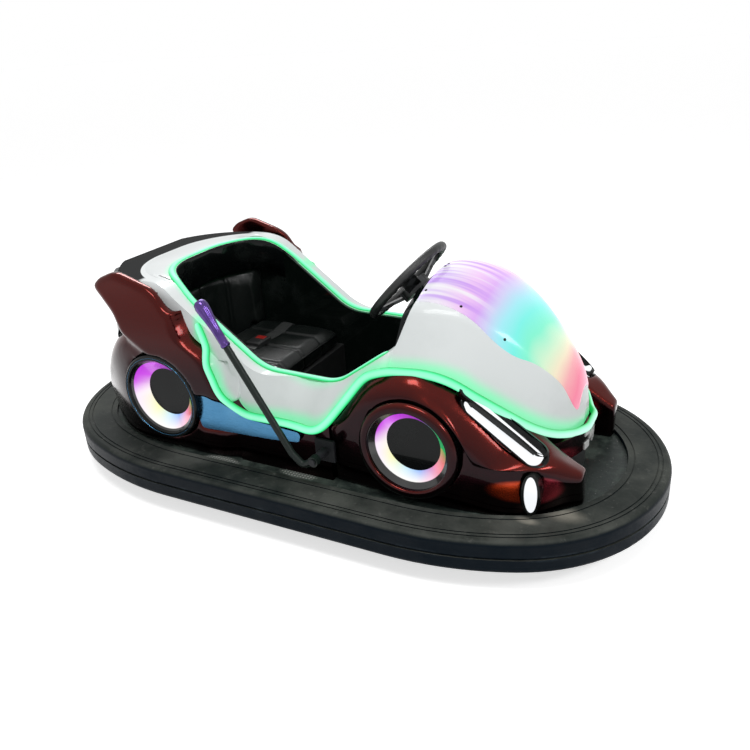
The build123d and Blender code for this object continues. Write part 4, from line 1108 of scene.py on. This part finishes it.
def stuffed(name, node, cap, start_scale):
    """Padded piece grown from a CAD solid: remeshed, blown up as cloth, and smoothed."""
    low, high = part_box(node)
    middle = (low + high) / 2
    mesh = NODES[node].data.copy()
    to_middle = Matrix.Translation(middle)
    mesh.transform(to_middle @ Matrix.Diagonal((*start_scale, 1)) @ to_middle.inverted())
    piece = remeshed(name, mesh, PAD_VOXEL)
    rest = [v.co.copy() for v in piece.data.vertices]
    cloth = piece.modifiers.new("cloth", "CLOTH")
    cloth.settings.use_pressure = True
    cloth.settings.uniform_pressure_force = 4.0
    cloth.settings.effector_weights.gravity = 0.0
    for step in range(1, 21):
        bpy.context.scene.frame_set(step)
    blown = evaluated_copy(piece)
    piece.modifiers.clear()
    for vertex, place, new in zip(piece.data.vertices, rest, blown.vertices):
        move = new.co - place
        limit = Vector(cap)
        for axis in range(3):
            move[axis] = max(-limit[axis], min(limit[axis], move[axis]))
        vertex.co = place + move
    bpy.context.scene.frame_set(1)
    smooth = piece.modifiers.new("smooth", "SMOOTH")
    smooth.iterations = 3
    finer = piece.modifiers.new("finer", "SUBSURF")
    finer.levels = finer.render_levels = 1
    apply_modifiers(piece)
    piece.data.materials.clear()
    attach(piece, "car_body")
    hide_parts(node)
    return piece


def press_seams(piece, lines, depth, width):
    """Sewn channels that run fore and aft over a pad, at these y."""
    for vertex in piece.data.vertices:
        for y in lines:
            away = (vertex.co.y - y) / width
            if abs(away) < 3:
                vertex.co -= vertex.normal * depth * math.exp(-away * away)


def round_loop(name, points, radius, material):
    """Round cord-like bead along a closed row of points, such as piping."""
    around = 10
    verts = []
    for index, point in enumerate(points):
        along = heading(points, index, True)
        side = along.cross(Vector((0, 0, 1)) if abs(along.z) < 0.9 else Vector((1, 0, 0))).normalized()
        verts += [point + out * radius for out in ring(around, side, along.cross(side))]
    return mesh_piece(name, verts, quads(len(points), around, True, True), material, "car_body")


def piping_points(tree, low, high, height):
    """Loop on the pad's side face at a height, found from outside."""
    count = 160
    power = 0.25
    centre = Vector(((low.x + high.x) / 2, (low.y + high.y) / 2, height))
    half_x, half_y = (high.x - low.x) / 2, (high.y - low.y) / 2
    points = []
    for k in range(count):
        angle = 2 * math.pi * k / count
        x = math.copysign(abs(math.cos(angle)) ** power, math.cos(angle)) * half_x
        y = math.copysign(abs(math.sin(angle)) ** power, math.sin(angle)) * half_y
        aim = Vector((x, y, 0))
        hit, _, _, _ = tree.ray_cast(centre + aim * 1.6, -aim.normalized())
        if hit is not None:
            points.append(hit)
    return smooth_points(points, 2, closed=True)


def seat(material, piping_material):
    cushion = stuffed(
        "seat_cushion_pad", "seat_cushion", (0.004, 0.004, 0.014), (0.985, 0.985, 0.9)
    )
    press_seams(cushion, SEAT_SEAMS, 0.006, 0.007)
    back = stuffed(
        "seat_back_pad", "seat_back", (0.008, 0.004, 0.006), (0.985, 0.985, 0.985)
    )
    press_seams(back, SEAT_SEAMS, 0.005, 0.007)
    for piece in (cushion, back):
        piece.data.materials.append(material)
        shade_smooth(piece.data)
    low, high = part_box("seat_cushion")
    tree = bvh_of(cushion)
    loop = piping_points(tree, low, high, high.z - 0.016)
    piping = round_loop("seat_piping", loop, 0.0035, piping_material)
    return cushion, tree


def lap_belt(material, tree):
    """Two webbing straps over the cushion, down to their anchors at the seat's sides."""
    low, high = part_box("belt_straps")
    middle_x = (low.x + high.x) / 2
    half = (high.x - low.x) / 2
    thick = 0.0012
    verts = []
    faces = []
    for side in (-1, 1):
        rows = []
        for step in range(41):
            y = side * (STRAP_RUN[0] + (STRAP_RUN[1] - STRAP_RUN[0]) * step / 40)
            drop = 0.05 * smooth_step(abs(y), 0.2, 0.23)
            row = []
            for across in (-1, -0.9, -0.3, 0.3, 0.9, 1):
                x = middle_x + across * half + 0.006 * math.sin(step * 0.14) * side
                above = Vector((x, max(-PAD_REACH, min(PAD_REACH, y)), 0.6))
                hit, _, _, _ = tree.ray_cast(above, DOWN)
                z = (hit.z if hit is not None else high.z) + thick + 0.0006 - drop
                row.append((x, y, z))
            rows.append(row)
        start = len(verts)
        width = len(rows[0])
        for lift in (thick, -thick):
            for row in rows:
                for k, (x, y, z) in enumerate(row):
                    edge = 0.5 if k in (0, width - 1) else 1.0
                    verts.append((x, y, z + lift * edge))
        layer = len(rows) * width
        upper = [tuple(start + v for v in quad) for quad in quads(len(rows), width)]
        faces += upper
        faces += [tuple(v + layer for v in reversed(quad)) for quad in upper]
        last = start + layer - width
        edges = [(a + k, a + k + width) for a in range(start, last, width) for k in (0, width - 1)]
        edges += [(a + k, a + k + 1) for a in (start, last) for k in range(width - 1)]
        faces += [(a, b, b + layer, a + layer) for a, b in edges]
    piece = mesh_piece("lap_belt", verts, faces, material, "car_body")
    tidy_normals(piece)
    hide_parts("belt_straps")
    return piece


def tidy_normals(piece):
    made = bmesh.new()
    made.from_mesh(piece.data)
    bmesh.ops.recalc_face_normals(made, faces=made.faces)
    made.to_mesh(piece.data)
    made.free()


def rounded_block(name, centre, size, radius, material):
    """Block with rounded edges on the body, for small moulded parts."""
    made = bmesh.new()
    bmesh.ops.create_cube(made, size=1.0)
    bmesh.ops.scale(made, vec=size, verts=made.verts)
    bmesh.ops.bevel(
        made, geom=list(made.edges), offset=radius, segments=4, profile=0.7, affect="EDGES"
    )
    bmesh.ops.translate(made, vec=centre, verts=made.verts)
    mesh = bpy.data.meshes.new(name)
    made.to_mesh(mesh)
    made.free()
    mesh.materials.append(material)
    shade_smooth(mesh)
    piece = bpy.data.objects.new(name, mesh)
    bpy.context.scene.collection.objects.link(piece)
    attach(piece, "car_body")
    return piece


def buckle(case_material, metal):
    """Moulded buckle with its press button and a metal tongue."""
    low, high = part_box("belt_buckle")
    centre = (low + high) / 2
    centre.z += 0.006
    case = rounded_block("belt_buckle_case", centre, (0.052, 0.072, 0.019), 0.005, case_material)
    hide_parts("belt_buckle")
    button = Shader("belt_button", Roughness=0.3)
    button.set("Base Color", button.mix(button.noise(60, 3), (0.32, 0.012, 0.008), (0.22, 0.01, 0.008)))
    press = rounded_block(
        "belt_buckle_button", centre + Vector((0, 0.016, 0.0088)), (0.032, 0.022, 0.004), 0.0015,
        button.material,
    )
    tongue = rounded_block(
        "belt_tongue", centre + Vector((0, -0.043, -0.002)), (0.040, 0.022, 0.0028), 0.001, metal
    )


def revolved(name, profile, centre, axis, material, body, around=96, closed=True):
    """Ring turned from radius, height points about an axis."""
    axis = Vector(axis).normalized()
    side = axis.orthogonal().normalized()
    verts = []
    for out in ring(around, side, axis.cross(side)):
        verts += [Vector(centre) + out * r + axis * h for r, h in profile]
    faces = quads(around, len(profile), True, closed)
    piece = mesh_piece(name, verts, faces, material, body)
    tidy_normals(piece)
    return piece


def light_trims(material):
    """Thin bright line round each wheel light, on its black bezel."""
    profile = ((0.1245, -0.002), (0.1247, 0.0006), (0.1251, 0.0009), (0.1255, 0.0006), (0.1257, -0.002))
    for row, (x, z) in zip(("rear", "front"), wheel_lights()):
        for side, sign in SIDES:
            piece = revolved(
                f"wheel_light_trim_{row}_{side}", profile, (x, BEZEL_FACE * sign, z), (0, sign, 0),
                material, "car_body",
            )


def steering_axes():
    """Middle of the steering wheel's rim, its axis, and two directions across it."""
    joint = next(j for j in frame["joints"] if j["name"] == "steering_turn")
    axis = Vector(joint["axis"]).normalized()
    across = Vector((0, 1, 0))
    return Vector(joint["pos_m"]), axis, across, axis.cross(across)


def steering_grip(material):
    """Rim with finger swells on its far side and a sewn seam on its inside."""
    centre, axis, across, other = steering_axes()
    around, section = 240, 24
    verts = []
    for k in range(around):
        angle = 2 * math.pi * k / around
        out = across * math.cos(angle) + other * math.sin(angle)
        for i in range(section):
            turn = 2 * math.pi * i / section
            far = max(0.0, -math.sin(turn))
            swell = 1 + 0.05 * far * math.cos(angle * 36) - 0.02 * far
            seam = 0.04 * math.exp(-((turn - math.pi) / 0.16) ** 2)
            r = RIM_TUBE_RADIUS * (swell - seam)
            verts.append(centre + out * (RIM_RADIUS + r * math.cos(turn)) + axis * r * math.sin(turn))
    faces = quads(around, section, True, True)
    piece = mesh_piece("steering_rim_grip", verts, faces, material, "steering")
    tidy_normals(piece)
    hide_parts("steering_rim")
    cap_profile = (
        (0.0, 0.0075), (0.012, 0.007), (0.024, 0.0052), (0.032, 0.002), (0.034, -0.002), (0.0, -0.002),
    )
    low_face = -WHEEL_DISH + HUB_DEPTH
    cap = revolved(
        "steering_cap", cap_profile, centre + axis * low_face, axis, material, "steering", around=64,
        closed=False,
    )


def chequered_black():
    """Black plastic printed with a darker and a lighter square in turn."""
    s = Shader("chequered_black", Specular_IOR_Level=0.45)
    centre, _, across, other = steering_axes()
    place = s.place()
    steps = []
    for direction in (across, other):
        dot = s.node(
            "ShaderNodeVectorMath", {0: place, 1: tuple(direction)}, operation="DOT_PRODUCT"
        )
        shifted = s.sub(dot.outputs["Value"], direction.dot(centre) - 0.5)
        steps.append(s.math("FLOOR", s.div(shifted, CHEQUER_SQUARE)))
    odd = s.math("PINGPONG", s.add(*steps), 1.0)
    s.set("Base Color", s.mix(odd, (0.0035, 0.004, 0.0042), (0.04, 0.042, 0.045)))
    s.set("Roughness", s.spread(s.noise(40, 4), 0.3, 0.7, 0.32, 0.46))
    s.bump(s.noise(500, 2), 0.12, 0.0005)
    return s.material


def panel_screws(material):
    """Small black screws round the hood's light panel."""
    tree = bvh_of("hood_light_panel")
    head = ((0.0, 0.0016), (0.0022, 0.0015), (0.0036, 0.0009), (SCREW_RADIUS, -0.0006))
    around = 16
    verts = []
    faces = []
    for x, y in SCREW_PLACES:
        for side in (-1, 1):
            hit, normal, _, _ = tree.ray_cast(Vector((x, side * y, 1.0)), DOWN)
            if hit is None:
                continue
            across = normal.orthogonal().normalized()
            start = len(verts)
            verts.append(hit + normal * head[0][1])
            for radius, height in head[1:]:
                circle = ring(around, across, normal.cross(across))
                verts += [hit + out * radius + normal * height for out in circle]
            first = start + 1
            faces += [(start, first + k, first + (k + 1) % around) for k in range(around)]
            rims = quads(len(head) - 1, around, wrap_width=True)
            faces += [tuple(first + v for v in face) for face in rims]
    piece = mesh_piece("panel_screws", verts, faces, material, "car_body")
    tidy_normals(piece)


def lever_grip(material):
    """Fluted grip: a slim fluted shaft that swells to a rounded end."""
    low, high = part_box("lever_grip")
    centre_y = (low.y + high.y) / 2
    foot = Vector((0.047, centre_y, 0.245))
    base = Vector((-0.125, centre_y, 0.535))
    along = (base - foot).normalized()
    side = Vector((0, 1, 0))
    other = along.cross(side)
    around = GRIP_FLUTES * 8
    verts = []
    for distance, radius in GRIP_ROWS:
        depth = GRIP_FLUTE_DEPTH * smooth_step(distance, 0.012, 0.022)
        depth *= 1 - smooth_step(distance, 0.118, 0.134)
        for k in range(around):
            angle = 2 * math.pi * k / around
            wave = abs(math.cos(angle * GRIP_FLUTES / 2)) ** 0.7
            r = radius * (1 - depth * (1 - wave))
            out = side * math.cos(angle) + other * math.sin(angle)
            verts.append(base + along * distance + out * r)
    faces = quads(len(GRIP_ROWS), around, wrap_width=True)
    faces.append(tuple(range(around - 1, -1, -1)))
    piece = mesh_piece("lever_grip_fluted", verts, faces, material, "lever")
    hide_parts("lever_grip")
    return piece


def area_light(name, place, target, size, power):
    data = bpy.data.lights.new(name, "AREA")
    data.shape = "RECTANGLE"
    data.size, data.size_y = size
    data.energy = power
    light = bpy.data.objects.new(name, data)
    light.location = place
    light.rotation_euler = (Vector(target) - Vector(place)).to_track_quat("-Z", "Y").to_euler()
    bpy.context.scene.collection.objects.link(light)
    return light


def make_world():
    """Soft world light, and a plain white background for the camera and for reflections."""
    world = bpy.data.worlds.new("world")
    world.use_nodes = True
    s = Nodes(world.node_tree)
    s.tree.nodes.clear()
    rays = s.node("ShaderNodeLightPath").outputs
    plain = s.most(s.most(rays["Is Camera Ray"], rays["Is Glossy Ray"]), rays["Is Transmission Ray"])
    soft, seen = [
        s.node("ShaderNodeBackground", {"Color": (1, 1, 1), "Strength": strength}).outputs[0]
        for strength in (SOFT_LIGHT, 1.0)
    ]
    mixed = s.node("ShaderNodeMixShader", {0: plain, 1: soft, 2: seen})
    s.node("ShaderNodeOutputWorld", {"Surface": mixed.outputs[0]})
    bpy.context.scene.world = world


def make_floor():
    """Pale floor that reads white and keeps the soft shadow."""
    mesh = bpy.data.meshes.new("floor")
    reach = 40.0
    corners = [(-reach, -reach, 0), (reach, -reach, 0), (reach, reach, 0), (-reach, reach, 0)]
    mesh.from_pydata(corners, [], [(0, 1, 2, 3)])
    s = Shader("floor", Roughness=0.9, Specular_IOR_Level=0.1)
    rays = s.node("ShaderNodeLightPath").outputs
    seen = s.most(rays["Is Camera Ray"], rays["Is Glossy Ray"])
    s.set("Base Color", (0.82, 0.82, 0.82))
    s.set("Emission Color", (1, 1, 1))
    s.set("Emission Strength", s.mul(seen, 0.66))
    mesh.materials.append(s.material)
    floor = bpy.data.objects.new("floor", mesh)
    bpy.context.scene.collection.objects.link(floor)


def make_lights():
    bpy.context.scene.view_settings.view_transform = "Standard"
    make_world()
    make_floor()
    area_light("key", (0.3, -1.2, 3.0), (0, 0, 0.3), (1.6, 0.8), 44)
    area_light("back", (-1.6, 1.6, 2.4), (0, 0, 0.4), (1.4, 0.5), 35)
    area_light("front", (2.6, -0.6, 1.9), (0.2, 0, 0.3), (0.9, 0.5), 22)


def dress_nodes():
    """Materials of the CAD nodes that are shown as they are."""
    maroon = maroon_paint()
    gloss = black_gloss()
    steel = bare_steel()
    frame_paint = painted_steel("frame_paint", (0.02, 0.021, 0.024))
    assign(bumper_rubber(), "bumper_ring")
    assign(worn_and_lit_deck(), "bumper_carrier", "floor_pan")
    assign(frame_paint, "chassis_frame", "steering_bridge", "fork", "lever_bracket")
    assign(painted_steel("battery_case", (0.03, 0.03, 0.03)), "battery_pack")
    assign(steel, "rear_axle")
    white = white_shell()
    assign(white, "cockpit_surround", "hood_shell")
    assign(hood_light(), "hood_light_panel")
    assign(maroon, "sills", "nose_lip", "tail_panel")
    assign(polished_steel(), "side_trims")
    glass = lamp_glow()
    assign(glass, "lamp_lenses")
    assign(gloss, "lamp_bezels", "wheel_light_housings", "rear_cover", "dash_panel")
    assign(black_gloss("tub_gloss", 0.7, (0.0025, 0.0045, 0.0035), 0.5), "cockpit_tub")
    assign(ring_glow(), "wheel_light_rings")
    assign(textured_black("grille_black"), "nose_grille", "dash_console", "seat_base")
    chequer = Shader("chequer_white", Roughness=0.3, Coat_Weight=0.6)
    chequer.set("Base Color", chequer.mix(chequer.noise(80, 5), (0.78, 0.79, 0.78), (0.62, 0.63, 0.62)))
    assign(chequer.material, "chequer_blocks")
    assign(tyre_rubber(), "front_tyre", "rear_tyre_left", "rear_tyre_right")
    assign(steel, "front_hub", "rear_hub_left", "rear_hub_right")
    assign(textured_black("wheel_black", 0.4), "steering_column")
    assign(painted_steel("lever_black", (0.008, 0.013, 0.011), 0.36), "lever_bar")
    return maroon, white, gloss, glass


make_camera()
make_lights()
maroon, white, gloss, glass = dress_nodes()
fender_forms = fenders(maroon, white)
headlights(bvh_of("lamp_lenses", "lamp_bezels", *fender_forms), gloss, glass)
cockpit_land(white, gloss)
light_collars(maroon)
neon_side(neon_glow("neon_side_light"), fender_forms)
neon_rim(neon_glow("neon_rim_light"))
lever_grip(grip_purple())
seat_vinyl = vinyl()
cushion, cushion_tree = seat(seat_vinyl, black_gloss("piping"))
lap_belt(webbing(), cushion_tree)
buckle(textured_black("buckle_case", 0.35), bare_steel())
light_trims(polished_steel())
wheel_black = textured_black("wheel_grip", 0.42)
steering_grip(wheel_black)
assign(chequered_black(), "steering_hub")
panel_screws(black_gloss("screw_black"))
